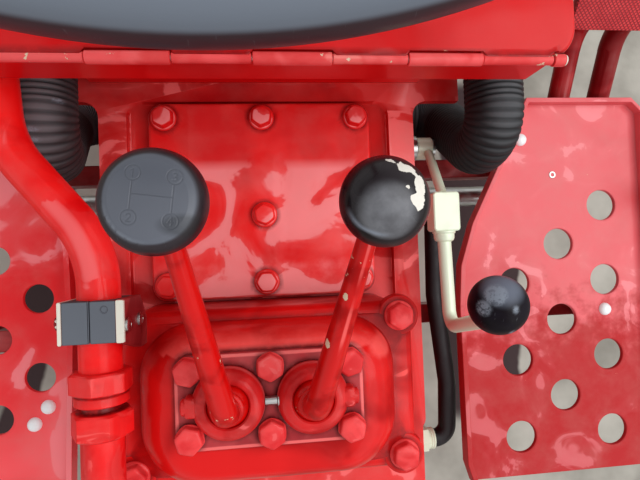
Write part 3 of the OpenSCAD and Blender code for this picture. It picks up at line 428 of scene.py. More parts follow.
# Footplate reds: the pink of the brighter red is a painted sky reflection; on the right plate it fades out
# towards low Y
plate_paint = {"soft": 0.16, "chips": 0.14, "gloss": (0.42, 0.55), "dust": 0.12, "lit": 0.3}
plate_red = red_enamel("red enamel on footplates", (252, 96, 102), (232, 34, 40), blotch=4.2, cover=0.5,
                       lit_scale=13.0, sheen=(250, 132, 138), **plate_paint)
right_plate_red = red_enamel("red enamel on right footplate", (226, 98, 104), (176, 22, 26), blotch=5.0,
                             cover=0.56, lit_scale=20.0, sheen=(240, 134, 140), fade=(-0.11, -0.04),
                             **plate_paint)
bar_red = red_enamel("red enamel on lever bars", (206, 9, 7), (168, 5, 5), blotch=60.0, cover=0.56,
                     chips=0.3, rub=0.12, chip_scale=230.0, lit=0.02, sides=0.1, dust=0.0,
                     sheen=(244, 96, 92))
pipe_red = red_enamel("red enamel on pipe", (255, 24, 24), (236, 12, 16), blotch=30.0, cover=0.6,
                      chips=0.04, wave=0.00005, lit=0.4, lit_scale=20.0, sides=0.12, sheen=(255, 104, 106))
union_red = red_enamel("red enamel on union", (236, 24, 26), (204, 10, 14), blotch=34.0, cover=0.55,
                       chips=0.1, lit=0.45, lit_scale=34.0, sides=0.25, sheen=(244, 84, 82))
deck_red = red_enamel("red enamel on housing", (226, 38, 38), (176, 12, 16), grain=0.00008, blotch=9.0,
                      cover=0.52, lit=0.5, lit_scale=18.0, sheen=(255, 112, 112))
pedal_red = red_enamel("red enamel on pedals", (160, 20, 26), (124, 10, 16), blotch=20.0, lit=0.02)
# A darker copy of the red enamel: painted shade for the parts that sit in shadow
shaded_red = red_enamel("shaded red enamel", (158, 46, 48), (124, 24, 28), blotch=30.0, chips=0.1, lit=0.1)
knob_black = moulded_black("black moulded knob", (34, 22, 28), (36, 28, 34), (93, 97, 107), coat=0.1,
                           towards=(0.12, 0.04, 0.99), turn_from=0.74, turn_to=0.9)
ball_black = moulded_black("scuffed black ball", (12, 5, 11), (16, 10, 20), (106, 112, 126), scratches=0.9,
                           coat=0.03, cloud=70.0, specular=0.08, towards=(-0.15, 0.72, 0.68),
                           turn_from=0.62, turn_to=0.97)
clamp_black = moulded_black("grey clamp plastic", (56, 60, 66), (62, 66, 72), (96, 101, 110),
                            gloss=(0.5, 0.65), coat=0.0)
rim_black = moulded_black("dark wheel rim", (46, 30, 38), (50, 38, 44), (106, 114, 126), gloss=(0.4, 0.55),
                          coat=0.1, cloud=9.0, towards=(0, -0.15, 0.99), turn_from=0.36, turn_to=0.52)
rubber = {"gloss": (0.55, 0.75), "coat": 0.0, "specular": 0.2}
hose_black = moulded_black("black hose rubber", (30, 30, 32), (42, 42, 44), (78, 79, 82), **rubber)
# Paler than the right hose: dust, and painted light where the beam shades the left hose
grey_hose = moulded_black("dusty, lit-paler hose rubber", (52, 46, 48), (64, 58, 60), (112, 110, 114), turn_from=0.4,
                          **rubber)
oil_dark_hose = moulded_black("oil-dark hose rubber", (16, 12, 14), (22, 18, 20), (40, 36, 38),
                          **{**rubber, "gloss": (0.4, 0.6)})
bare_steel = machined_steel("bare steel", (172, 172, 170), (112, 74, 50))
zinc_plate = machined_steel("yellowed zinc", (222, 232, 208), (150, 120, 70), metallic=0.1,
                            rough=(0.35, 0.5), rust_share=0.2)
cream_plate = machined_steel("cream zinc plate", (226, 222, 208), (170, 150, 110), metallic=0.15,
                             rough=(0.4, 0.55), rust_share=0.15)
worn_rivet = machined_steel("worn rivet heads", (238, 242, 244), (190, 130, 120), metallic=0.0)


# Surfaces: arrays of points in millimetres and the quads between them

def unit(vectors):
    """Vectors of length one, along the last axis."""
    return vectors / np.linalg.norm(vectors, axis=-1, keepdims=True)


def quads_of(rows, columns, wrap_rows):
    """Corner numbers of the quads of a grid whose columns close on themselves, and its rows if wrapped."""
    i = np.arange(rows if wrap_rows else rows - 1)[:, None]
    j = np.arange(columns)[None, :]
    below, beside = (i + 1) % rows, (j + 1) % columns
    corners = [i * columns + j, i * columns + beside, below * columns + beside, below * columns + j]
    return np.stack(np.broadcast_arrays(*corners), axis=-1).reshape(-1, 4)


def shell(grid, wrap_rows=False, caps=True):
    """Grid of points as (points, quads, caps); the open ends of a tube get one flat face each."""
    rows, columns = grid.shape[:2]
    ends = []
    if caps and not wrap_rows:
        ends = [np.arange(columns), (rows - 1) * columns + np.arange(columns)]
    return grid.reshape(-1, 3), quads_of(rows, columns, wrap_rows), ends


def flowing(corners, count):
    """Smooth line through control points, by Catmull-Rom weights, `count` points in all."""
    p = np.asarray(corners, float)
    p = np.vstack([2 * p[0] - p[1], p, 2 * p[-1] - p[-2]])
    t = np.linspace(0, len(p) - 3 - 1e-9, count)
    k = t.astype(int)
    u = (t - k)[:, None]
    a, b, c, d = p[k], p[k + 1], p[k + 2], p[k + 3]
    bend = (2 * a - 5 * b + 4 * c - d) * u ** 2
    return 0.5 * (2 * b + (c - a) * u + bend + (3 * b - a - 3 * c + d) * u ** 3)


def hexagon(angle):
    """How far a hexagon's outline stands outside its inner circle, its corners worn round."""
    turn = (angle + math.pi / 6) % (math.pi / 3) - math.pi / 6
    return np.minimum(1 / np.cos(turn), 1.13)


def turned(profile, sides=72, base=(0, 0, 0), axis=(0, 0, 1), start=0.0):
    """Surface of revolution: each row's radius and height run once round the axis from the start angle.

    A third number in the rows is the share by which the round is pressed to a hexagon.
    """
    profile = np.asarray(profile, float)
    z = unit(np.asarray(axis, float))
    x = unit(np.cross(z, (0.0, 1.0, 0.0) if abs(z[1]) < 0.9 else (1.0, 0.0, 0.0)))
    y = np.cross(z, x)
    angle = np.arange(sides) * 2 * math.pi / sides
    radius = profile[:, :1] * np.ones(sides)
    if profile.shape[1] > 2:
        radius = radius * (1 + profile[:, 2:] * (hexagon(angle) - 1))
    facing = angle + start
    round_it = np.cos(facing)[:, None] * x + np.sin(facing)[:, None] * y
    return np.asarray(base, float) + radius[..., None] * round_it + profile[:, 1][:, None, None] * z


def ring(*rows_and_place):
    """Closed shell of turned rows whose last joins the first."""
    return shell(turned(*rows_and_place), wrap_rows=True)


def lathed(*rows_and_place):
    """Shell of turned rows without flat ends: they end on the axis, or are open where nothing shows."""
    return shell(turned(*rows_and_place), caps=False)


def ball(centre, radius, sides):
    """Sphere as a half circle turned round the upright axis."""
    lean = np.linspace(-math.pi / 2, math.pi / 2, sides // 2 + 1)
    return turned(np.stack([radius * np.cos(lean), radius * np.sin(lean)], axis=1), sides, centre)


def lengths_along(path):
    """Distance of each point of a path from its start."""
    return np.concatenate([[0], np.cumsum(np.linalg.norm(np.diff(path, axis=0), axis=1))])


def rounded_path(corners, bend, step):
    """Straight runs joined by arcs of one radius, with a point about every `step`."""
    p = np.asarray(corners, float)
    out = [p[:1]]
    for before, corner, after in zip(p[:-2], p[1:-1], p[2:]):
        u, v = unit(corner - before), unit(after - corner)
        aside = unit(v - u * (u @ v))
        turn = math.acos(np.clip(u @ v, -1, 1))
        centre = corner - u * bend * math.tan(turn / 2) + aside * bend
        swing = np.linspace(0, turn, max(4, int(bend * turn / step)))[:, None]
        out.append(centre + bend * (u * np.sin(swing) - aside * np.cos(swing)))
    whole = np.vstack(out + [p[-1:]])
    along = lengths_along(whole)
    even = np.linspace(0, along[-1], max(2, int(along[-1] / step)))
    return np.stack([np.interp(even, along, whole[:, k]) for k in range(3)], axis=1)


def swept(path, radius, sides=40):
    """Round tube along a path; radius is one number or one for each point of the path."""
    path = np.asarray(path, float)
    ahead = unit(np.gradient(path, axis=0))
    across = np.empty_like(path)
    across[0] = unit(np.cross(ahead[0], (0.31, 0.17, 0.93)))
    for i in range(1, len(path)):
        across[i] = unit(across[i - 1] - ahead[i] * (across[i - 1] @ ahead[i]))
    up = np.cross(ahead, across)
    angle = np.arange(sides) * 2 * math.pi / sides
    radius = np.broadcast_to(np.asarray(radius, float), len(path))[:, None, None]
    round_it = np.cos(angle)[:, None] * across[:, None] + np.sin(angle)[:, None] * up[:, None]
    return path[:, None] + radius * round_it


def rounded_outline(wide, deep, corner, per_corner=12, per_side=20):
    """Points round a rectangle with circular corners, anticlockwise from its right side."""
    corner = max(corner, 0.01)
    quarter = np.linspace(0, math.pi / 2, per_corner)
    along = np.linspace(0, 1, per_side + 2)[1:-1]
    arcs = []
    for k, (sx, sy) in enumerate([(1, 1), (-1, 1), (-1, -1), (1, -1)]):
        a = quarter + k * math.pi / 2
        centre = np.array([sx * (wide / 2 - corner), sy * (deep / 2 - corner)])
        arcs.append(centre + corner * np.stack([np.cos(a), np.sin(a)], axis=1))
    pieces = []
    for arc, following in zip(arcs, arcs[1:] + arcs[:1]):
        pieces += [arc, arc[-1] + (following[0] - arc[-1]) * along[:, None]]
    return np.vstack(pieces)


def stacked(rings, middle, **outline):
    """Loft of rounded rectangles: each ring is (width, depth, corner radius, height)."""
    levels = []
    for wide, deep, corner, height in rings:
        round_it = rounded_outline(wide, deep, corner, **outline)
        levels.append(np.column_stack([round_it, np.full(len(round_it), height)]))
    return np.stack(levels) + np.array([middle[0], middle[1], 0.0])


def soft_edge(wide, deep, corner, top, soft, angles, shrink=0.0):
    """Rings of a quarter-round upper edge, at the given angles from upright to level."""
    backs = [soft * (1 - math.cos(a)) for a in angles]
    return [(wide - 2 * back, deep - 2 * back, corner - shrink * back, top - soft + soft * math.sin(a))
            for a, back in zip(angles, backs)]


def drawn_in(wide, deep, corner, height, insets, shrink, least):
    """Level rings that close a face towards its middle, their corners growing sharper."""
    return [(wide - 2 * d, deep - 2 * d, max(corner - d * shrink, least), height) for d in insets]


def waves(points, size, seed):
    """Slow unevenness of a hand-finished face: four crossed sine waves, about `size` high."""
    chance = np.random.default_rng(seed)
    wide = chance.uniform(28, 75, 4)
    way = chance.uniform(0, math.pi, 4)
    phase = chance.uniform(0, 2 * math.pi, 4)
    run = points[..., :1] * np.cos(way) + points[..., 1:2] * np.sin(way)
    return size * np.sin(2 * math.pi * run / wide + phase).mean(axis=-1)


def piece(name, shells, body, finish, stands_for=(), crease=35, measures=None):
    """One object from shells: merged, faces turned outwards, smooth but for its creases."""
    points, sizes, corners, shift = [], [], [], 0
    for block, quads, caps in shells:
        points.append(block)
        corners.append(quads.ravel() + shift)
        sizes.append(np.full(len(quads), 4))
        for cap in caps:
            corners.append(cap + shift)
            sizes.append(np.array([len(cap)]))
        shift += len(block)
    points, corners, sizes = np.vstack(points), np.concatenate(corners), np.concatenate(sizes)
    mesh = bpy.data.meshes.new(name)
    mesh.vertices.add(len(points))
    mesh.vertices.foreach_set("co", (points * MM).ravel())
    mesh.loops.add(len(corners))
    mesh.loops.foreach_set("vertex_index", corners.astype(np.int32))
    mesh.polygons.add(len(sizes))
    mesh.polygons.foreach_set("loop_start", (np.cumsum(sizes) - sizes).astype(np.int32))
    mesh.polygons.foreach_set("loop_total", sizes.astype(np.int32))
    mesh.update()
    for label, values in (measures or {}).items():
        held = mesh.attributes.new(label, "FLOAT", "POINT").data
        held.foreach_set("value", np.ravel(values).astype(np.float32))
    work = bmesh.new()
    work.from_mesh(mesh)
    bmesh.ops.remove_doubles(work, verts=work.verts, dist=1e-6)
    bmesh.ops.recalc_face_normals(work, faces=work.faces)
    work.to_mesh(mesh)
    work.free()
    return dressed(name, mesh, body, finish, stands_for, crease)


def dressed(name, mesh, body, finish, stands_for=(), crease=35):
    """Object round a finished mesh: smooth shading, finish, body and the CAD nodes it stands for."""
    mesh.polygons.foreach_set("use_smooth", np.ones(len(mesh.polygons), bool))
    mesh.set_sharp_from_angle(angle=math.radians(crease))
    mesh.materials.clear()
    mesh.materials.append(finish)
    made = placed(name, mesh)
    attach(made, body)
    if stands_for:
        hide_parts(*stands_for)
    return made


def eased(name, node, width, body, finish, shortest=2.0):
    """Copy of a CAD node with its triangles merged and its longer sharp edges rounded."""
    mesh = nodes[node].data.copy()
    mesh.name = name
    work = bmesh.new()
    work.from_mesh(mesh)
    bmesh.ops.remove_doubles(work, verts=work.verts, dist=2e-6)
    bmesh.ops.dissolve_limit(work, angle_limit=math.radians(0.3), verts=work.verts, edges=work.edges)
    sharp = [e.is_manifold and e.calc_face_angle(0) > math.radians(40) and e.calc_length() > shortest * MM
             for e in work.edges]
    work.to_mesh(mesh)
    work.free()
    weights = mesh.attributes.new("bevel_weight_edge", "FLOAT", "EDGE").data
    weights.foreach_set("value", np.array(sharp, np.float32))
    made = dressed(name, mesh, body, finish, (node,), crease=40)
    bevel = made.modifiers.new("eased edges", "BEVEL")
    bevel.width = width * MM
    bevel.segments = 3
    bevel.limit_method = "WEIGHT"
    bevel.harden_normals = True
    return made


def shaded_by(shells, rule):
    """A measure for every point of some shells, from a rule that takes their places."""
    return np.concatenate([rule(points) for points, _, _ in shells])


def bolt(place, flats, head, washer, washer_t, start=0.0, axis=(0, 0, 1)):
    """Painted hexagon bolt on its washer: rounded washer edge, chamfered head, slightly domed top."""
    r, w, t = flats / 2, washer / 2, washer_t
    return lathed([
        (w - 0.3, -0.2, 0), (w, 0.4, 0), (w, t * 0.6, 0), (w - 0.5, t, 0), (r + 1.0, t + 0.1, 0.5),
        (r + 0.15, t + 0.5, 1), (r, t + 1.0, 1), (r, t + head - 2.0, 1), (r * 0.99, t + head - 1.1, 0.85),
        (r * 0.93, t + head - 0.4, 0.35), (r * 0.84, t + head - 0.05, 0), (r * 0.45, t + head + 0.1, 0),
        (0, t + head + 0.15, 0)], 48, place, axis, start)


# Sizes and places, as part.scad has them

DECK = 328.0
COVER_Y, COVER_W, COVER_L, COVER_T = 49.0, 202.0, 178.0, 12.0
COVER_INSET = 14.0
COVER_TOP = DECK + COVER_T
TOWER_Y, TOWER_W, TOWER_D = -109.0, 232.0, 134.0
LEDGE_TOP, TOWER_TOP = DECK + 74, DECK + 110
PLATE_W, PLATE_D, PLATE_T = 130.0, 65.0, 8.0
PLATE_INSET = 10.0
SOCKET_Y, SOCKET_X = -100.0, 28.5
PLATE_TOP = TOWER_TOP + PLATE_T
PIVOT_Z = PLATE_TOP + 4.5
PIPE_X, PIPE_Z = -113.0, DECK + 112
UNION_Y, UNION_FLATS = -96.0, 36.0
ELBOW_Y = -200.0
PIPE_R = 14.0
CLAMP_Y, CLAMP_L, CLAMP_W, CLAMP_H = -40.0, 27.0, 33.0, 42.0
HINGE_Y, HINGE_Z = 122.0, DECK + 152
FOOT_TOP = 312.0

# Middle of the painted highlight on the tower's shoulder, and depth of the plate's hollows under the sockets
SHEEN_AT = (84.0, -72.0)
HOLLOW = 3.5


# Gearbox top: cover, tower, plate and all their bolts

def ring_shade(points, places, inner, outer):
    """Ring round places, full at the inner radius and fading to nothing at the outer one: painted shade round
    bolts, and the plate's hollows.
    """
    shade = np.zeros(points.shape[:-1])
    for place in places:
        away = np.hypot(points[..., 0] - place[0], points[..., 1] - place[1])
        shade = np.maximum(shade, np.clip((outer - away) / (outer - inner), 0, 1))
    return shade


def box_distance(points, middle, wide, deep, corner):
    """Signed distance in plan to a rounded rectangle: negative inside."""
    x = np.abs(points[..., 0] - middle[0]) - wide / 2 + corner
    y = np.abs(points[..., 1] - middle[1]) - deep / 2 + corner
    return np.hypot(np.maximum(x, 0), np.maximum(y, 0)) + np.minimum(np.maximum(x, y), 0) - corner


COVER_BOLTS = [(sx * (COVER_W / 2 - COVER_INSET), COVER_Y + sy * (COVER_L / 2 - COVER_INSET))
               for sx in (-1, 1) for sy in (-1, 1)]
COVER_BOLTS += [(0, COVER_Y + COVER_L / 2 - COVER_INSET), (0, COVER_Y - COVER_L / 2 + COVER_INSET),
                (0, COVER_Y - COVER_INSET)]
TOWER_BOLTS = [(104, -54), (104, -164), (-104, -164)]
PLATE_BOLTS = [(sx * (PLATE_W / 2 - PLATE_INSET), SOCKET_Y + sy * (PLATE_D / 2 - PLATE_INSET))
               for sx in (-1, 0, 1) for sy in (-1, 1)]


def make_cover():
    """Rounded plate with a soft edge and slow waves; two fields sink a little between the bolt rims."""
    edge, corner = 3.2, 14
    size = (COVER_W, COVER_L, corner)
    rings = [(*size, DECK)]
    rings += soft_edge(*size, COVER_TOP, edge, np.linspace(0, math.pi / 2, 6), shrink=1.0)
    rings += drawn_in(*size, COVER_TOP, np.linspace(edge, COVER_L / 2 - 0.02, 70)[1:], 0.6, 4)
    grid = stacked(rings, (0, COVER_Y), per_corner=14, per_side=46)
    x, y, z = grid[..., 0], grid[..., 1], grid[..., 2]
    sink = 0.9
    field = np.full(grid.shape[:2], 99.0)
    for middle in (-COVER_W / 4.4, COVER_W / 4.4):
        field = np.minimum(field, box_distance(grid, (middle, COVER_Y - 1), COVER_W / 3.2, COVER_L - 62, 10))
    sunk = np.clip(0.5 - field / 16, 0, 1)
    top = z > COVER_TOP - 0.01
    z -= np.where(top, sink * sunk ** 2 * (3 - 2 * sunk), 0)
    z += np.where(top, waves(grid, 0.45, 7), 0)
    # Painted shade round the bolt washers and down the cover's sides
    shade = 0.75 * ring_shade(grid, COVER_BOLTS, 11.5, 15.5)
    shade = np.maximum(shade, np.where(top, 0, 0.85 * np.clip((COVER_TOP - 3 - z) / 6, 0, 1)))
    # Painted sheen: stronger towards the tower, taken away near the tool box and at the left edge
    glow = 0.4 * np.clip((8 - y) / 20, 0, 1) - 0.95 * np.clip((y - 76) / 10, 0, 1)
    glow -= 0.5 * np.clip((-66 - x) / 8, 0, 1)
    piece("cover", [shell(grid, caps=False)], "base", cover_red, ["inspection_cover"],
          measures={"painted_shade": shade, "glow": glow})


def make_tower():
    """Loft of rounded rectangles: drafted base, soft ledge, hollow fillet, elliptic shoulders, flat top."""
    rings = [(TOWER_W, TOWER_D, 22, DECK), (TOWER_W - 0.6, TOWER_D - 0.6, 22, LEDGE_TOP - 12)]
    rings += soft_edge(TOWER_W - 0.6, TOWER_D - 0.6, 22, LEDGE_TOP, 9.0, np.linspace(0, math.pi / 2, 9))
    dome_w, dome_d, rise = TOWER_W - 40, TOWER_D - 20, TOWER_TOP - LEDGE_TOP
    in_x, in_y = (dome_w - PLATE_W) / 2 - 1, (dome_d - PLATE_D) / 2 - 10
    for a in np.linspace(0.06, math.pi / 2, 16):
        flare = 3.0 * math.exp(-rise * math.sin(a) / 3.0)
        lean = 1 - math.cos(a)
        rings.append((dome_w - 2 * in_x * lean + 2 * flare, dome_d - 2 * in_y * lean + 2 * flare,
                      40 - 12 * lean, LEDGE_TOP + rise * math.sin(a)))
    flat_w, flat_d = dome_w - 2 * in_x, dome_d - 2 * in_y
    rings += drawn_in(flat_w, flat_d, 28, TOWER_TOP, np.linspace(1, flat_d - 0.1, 24) / 2, 1.0, 4)
    grid = stacked(rings, (0, TOWER_Y), per_corner=18, per_side=34)
    grid[2:, :, 2] += waves(grid[2:], 0.5, 3)
    x, y, z = grid[..., 0], grid[..., 1], grid[..., 2]
    lip = box_distance(grid, (0, SOCKET_Y), PLATE_W, PLATE_D, 10)
    foot = box_distance(grid, (0, TOWER_Y), dome_w, dome_d, 40)
    low = np.abs(z - LEDGE_TOP) < 3
    # Painted shade round the plate's foot, where the dome meets the ledge, low down by the deck and round the
    # ledge bolts
    shade = np.max([np.where(z > TOWER_TOP - 6, 0.9 * np.clip(1 - np.abs(lip) / 3.2, 0, 1), 0),
                    np.where(low, 0.5 * np.clip(1 - np.abs(foot - 1) / 4, 0, 1), 0),
                    np.where(z < DECK + 14, 0.7, 0),
                    np.where(low, 0.7 * ring_shade(grid, TOWER_BOLTS, 15, 19), 0)], axis=0)
    # Painted highlight on the rear shoulder, and a painted bright patch round SHEEN_AT
    over = (z - LEDGE_TOP) / rise
    rear = np.where((over > 0.2) & (y > TOWER_Y + flat_d / 2 - 4), 0.62 * over, 0)
    corner = np.hypot((x - SHEEN_AT[0]) / 16, (y - SHEEN_AT[1]) / 13)
    glow = np.maximum(rear, np.where(over > 0.1, np.clip(1.1 - corner, 0, 0.8), 0))
    shells, shades, glows = [shell(grid, caps=False)], [shade.ravel()], [glow.ravel()]
    for at in TOWER_BOLTS:
        boss = turned([(17, LEDGE_TOP - 6), (16.2, LEDGE_TOP - 0.6), (15.4, LEDGE_TOP + 0.1),
                       (12, LEDGE_TOP + 0.3), (0, LEDGE_TOP + 0.3)], 48, (*at, 0))
        shells.append(shell(boss, caps=False))
        # Painted shade round each bolt on its boss
        shades.append(0.7 * ring_shade(boss, [at], 12.2, 15).ravel())
        glows.append(np.zeros(boss[..., 0].size))
    piece("tower", shells, "base", casting_red, ["shift_tower"],
          measures={"painted_shade": np.concatenate(shades), "glow": np.concatenate(glows)})


def make_tower_plate():
    """Plate on the tower with a worn soft edge, hollow under the sockets, painted shade round them; the edge
    carries a painted highlight.
    """
    edge = 1.8
    size = (PLATE_W, PLATE_D, 10)
    rings = [(*size, TOWER_TOP)] + soft_edge(*size, PLATE_TOP, edge, np.linspace(0, math.pi / 2, 6))
    rings += drawn_in(*size, PLATE_TOP, np.linspace(edge, PLATE_D / 2 - 0.02, 26)[1:], 0.5, 3)
    grid = stacked(rings, (0, SOCKET_Y), per_corner=12, per_side=44)
    z = grid[..., 2]
    top = z > PLATE_TOP - 0.01
    z += np.where(top, waves(grid, 0.2, 11) - 0.1, 0)
    sockets = [(-SOCKET_X, SOCKET_Y), (SOCKET_X, SOCKET_Y)]
    z -= np.where(top, HOLLOW * ring_shade(grid, sockets, 22.6, 23.8), 0)
    # Painted shade round the bolts, round the sockets and along the plate's foot
    shade = np.max([0.8 * ring_shade(grid, PLATE_BOLTS, 9.6, 13),
                    0.85 * ring_shade(grid, sockets, 24.6, 28.5),
                    np.clip((TOWER_TOP + 2.5 - z) / 2, 0, 0.8)], axis=0)
    # Painted highlight along the rounded edge
    rim = box_distance(grid, (0, SOCKET_Y), PLATE_W, PLATE_D, 10)
    glow = np.where(z > TOWER_TOP + 2, np.clip(1.2 - np.abs(rim + 1.6) / 1.6, 0, 1), 0)
    piece("tower_top_plate", [shell(grid, caps=False)], "base", plate_top_red, ["tower_plate"],
          measures={"painted_shade": shade, "glow": glow})


def make_bolts():
    """Three rows of hexagon bolts, each bolt turned to its own angle."""
    flats, head = 17.0, 7.0
    places = {
        "cover": (COVER_BOLTS, COVER_TOP, flats, head, 23, cover_red, lambda k, x, y: 0.4 + 1.7 * k),
        "tower": (TOWER_BOLTS, LEDGE_TOP, flats + 2, head + 1, 24, bolt_red, lambda k, x, y: 0.9 * k),
        "plate": (PLATE_BOLTS, PLATE_TOP, flats, head, 19, bolt_red, lambda k, x, y: 0.7 * x + y),
    }
    for name, (spots, z, across, high, washer, look, start) in places.items():
        row = [bolt((x, y, z), across, high, washer, 2, start(k, x, y)) for k, (x, y) in enumerate(spots)]
        piece(name + "_bolt_set", row, "base", look, [name + "_bolts"], crease=60)


def make_sockets():
    """Domed cap with an open mouth, one closed profile turned round; rounded nubs hold the cross pin."""
    cap = [(24.5, 0), (24.5, 3.6), (24.1, 6.4), (23.0, 9.0), (21.2, 11.2), (19.0, 12.6), (17.0, 13),
           (15.2, 12.8), (14.3, 12.0), (14.0, 10.6), (14.1, 8.6), (14.6, 6.5), (15.1, 3), (15.4, 0)]
    for side, name in ((-1, "left"), (1, "right")):
        x = side * SOCKET_X
        mouth = ring(cap, 72, (x, SOCKET_Y, PLATE_TOP))
        nub = stacked([(9, 14, 3, PLATE_TOP), (9, 14, 3, PLATE_TOP + 7.5), (8.4, 13.2, 3, PLATE_TOP + 9.6),
                       (6.6, 11, 3, PLATE_TOP + 10.8), (3, 7, 1.4, PLATE_TOP + 11)],
                      (x + side * 24.5, SOCKET_Y), per_corner=8, per_side=4)
        pin = lathed([(0, -4), (5.6, -4), (5.6, 1.2), (4.8, 2.0), (0, 2.2)], 32,
                     (x + side * 29, SOCKET_Y, PLATE_TOP + 5.6), (side, 0, 0))

        # Painted highlight in a band round the cap's outer rim
        def rim_highlight(points):
            band = np.clip(1.1 - np.abs(points[:, 2] - PLATE_TOP - 4.6) / 3, 0, 1)
            return np.where(np.hypot(points[:, 0] - x, points[:, 1] - SOCKET_Y) < 25, band, 0)

        parts = [mouth, shell(nub), pin]
        piece(name + "_socket_cap", parts, "base", socket_red, [name + "_socket"],
              measures={"glow": shaded_by(parts, rim_highlight)})


# Gear levers and their knobs

LEFT_FOOT, LEFT_TOP = (-28.5, SOCKET_Y, PIVOT_Z + 26), (-45.5, 23.0, 561.0)
RIGHT_FOOT, RIGHT_TOP = (28.5, SOCKET_Y, PIVOT_Z + 26), (53.5, 21.0, 556.0)
FLAKES = {"left": [(-41.0, -22.0, 535.3, 0.8), (-33.6, -36.0, 524.6, 0.7), (-31.8, -45.0, 518.0, 1.0)],
          "right": [(40.6, -24.3, 531.3, 1.6), (38.4, -39.0, 522.2, 0.9), (32.0, -52.0, 512.0, 2.3)]}
STREAK_WAY = {"left": (-0.15, -0.3, 0.94), "right": (0.12, -0.2, 0.97)}
STREAK_GLOW = {"left": 0.35, "right": 0.7}


def lever_shells(x, foot, top):
    """Bar bent up from its ball, tapering to the knob, with a rolled collar where it leaves the ball."""
    ball_r, thick, thin, neck = 15, 8.6, 4.75, 4.25
    straight, depth = 22, 9.0
    pivot = np.array([x, SOCKET_Y, PIVOT_Z])
    path = rounded_path([pivot, foot, top + depth * unit(top - foot)], 16, 1.5)
    along = lengths_along(path)
    taper = np.clip((along - straight) / (along[-1] - depth - straight), 0, 1)
    radius = np.where(along > along[-1] - depth, neck, thick + (thin - thick) * taper)
    collar = [(9.0, 11.6), (10.2, 11.8), (11.0, 12.6), (10.9, 13.6), (10.1, 14.3), (9.0, 14.6)]
    return [shell(swept(path, radius, 48)), shell(ball(pivot, ball_r, 64), caps=False),
            shell(turned(collar, 48, pivot))]


def make_levers():
    """Both bars: a narrow painted streak of light along each, and flakes off the paint at the worn places."""
    for side, sign, foot, top in (("left", -1, LEFT_FOOT, LEFT_TOP), ("right", 1, RIGHT_FOOT, RIGHT_TOP)):
        foot, top = np.array(foot), np.array(top)
        parts = lever_shells(sign * SOCKET_X, foot, top)
        lean = unit(top - foot)
        way = np.array(STREAK_WAY[side])
        way = unit(way - lean * (lean @ way))

        def streak(points):
            along = (points - foot) @ lean
            out = unit(points - foot - along[:, None] * lean)
            narrow = np.clip((out @ way - 0.972) / 0.02, 0, 1)
            swell = np.clip((along - 15) / 50, 0, 1) * (0.75 + 0.25 * np.sin(along / 9))
            return np.where(along < 140, STREAK_GLOW[side] * narrow * swell, 0)

        def flaking(points):
            away = [np.linalg.norm(points - np.array(spot[:3]), axis=1) / spot[3] for spot in FLAKES[side]]
            return np.clip(1.5 - 0.75 * np.min(away, axis=0), 0, 1)

        piece(side + "_lever_bar", parts, side + "_gear_lever", bar_red, [side + "_lever"],
              measures={"glow": shaded_by(parts, streak), "flake": shaded_by(parts, flaking)})


def arc_line(centre, radius, start, end, count=16):
    """Points of a flat arc between two angles in degrees."""
    a = np.radians(np.linspace(start, end, count))
    return np.asarray(centre) + radius * np.stack([np.cos(a), np.sin(a)], axis=1)


def gate_strokes():
    """Strokes of the engraved shift pattern: an H, a ring at each end and the numbers 1 to 4."""
    half_w, half_h, circle = 8.1, 8.9, 3.0
    digits = {
        (-1, 1): [np.array([[-0.5, 0.6], [0.05, 1.0], [0.05, -1.0]])],
        (-1, -1): [np.vstack([arc_line((0, 0.42), 0.55, 160, -35), [[-0.62, -1.0], [0.62, -1.0]]])],
        (1, 1): [np.vstack([arc_line((0, 0.48), 0.5, 140, -90), arc_line((0, -0.5), 0.55, 90, -140)])],
        (1, -1): [np.array([[0.25, -1.0], [0.25, 1.0], [-0.6, -0.35], [0.65, -0.35]])],
    }
    lines = [np.array([[s * half_w, half_h - circle], [s * half_w, circle - half_h]]) for s in (-1, 1)]
    lines.append(np.array([[-half_w, 0.6], [half_w, 0.6]]))
    for (sx, sy), figure in digits.items():
        middle = np.array([sx * half_w, sy * half_h])
        lines.append(arc_line(middle, circle, 0, 360, 40))
        lines += [middle + 1.55 * stroke for stroke in figure]
    return lines


def distance_to(points, line):
    """Least distance from each flat point to a line of straight parts."""
    a, b = line[:-1], line[1:]
    run = b - a
    share = ((points[:, None] - a) * run).sum(-1) / np.maximum((run ** 2).sum(-1), 1e-9)
    nearest = a + np.clip(share, 0, 1)[..., None] * run
    return np.linalg.norm(points[:, None] - nearest, axis=-1).min(axis=1)


def round_about(grid, centre):
    """Offsets in plan from a centre, with their angle in degrees and their length."""
    x, y = grid[..., 0] - centre[0], grid[..., 1] - centre[1]
    return x, y, np.degrees(np.arctan2(y, x)), np.hypot(x, y)


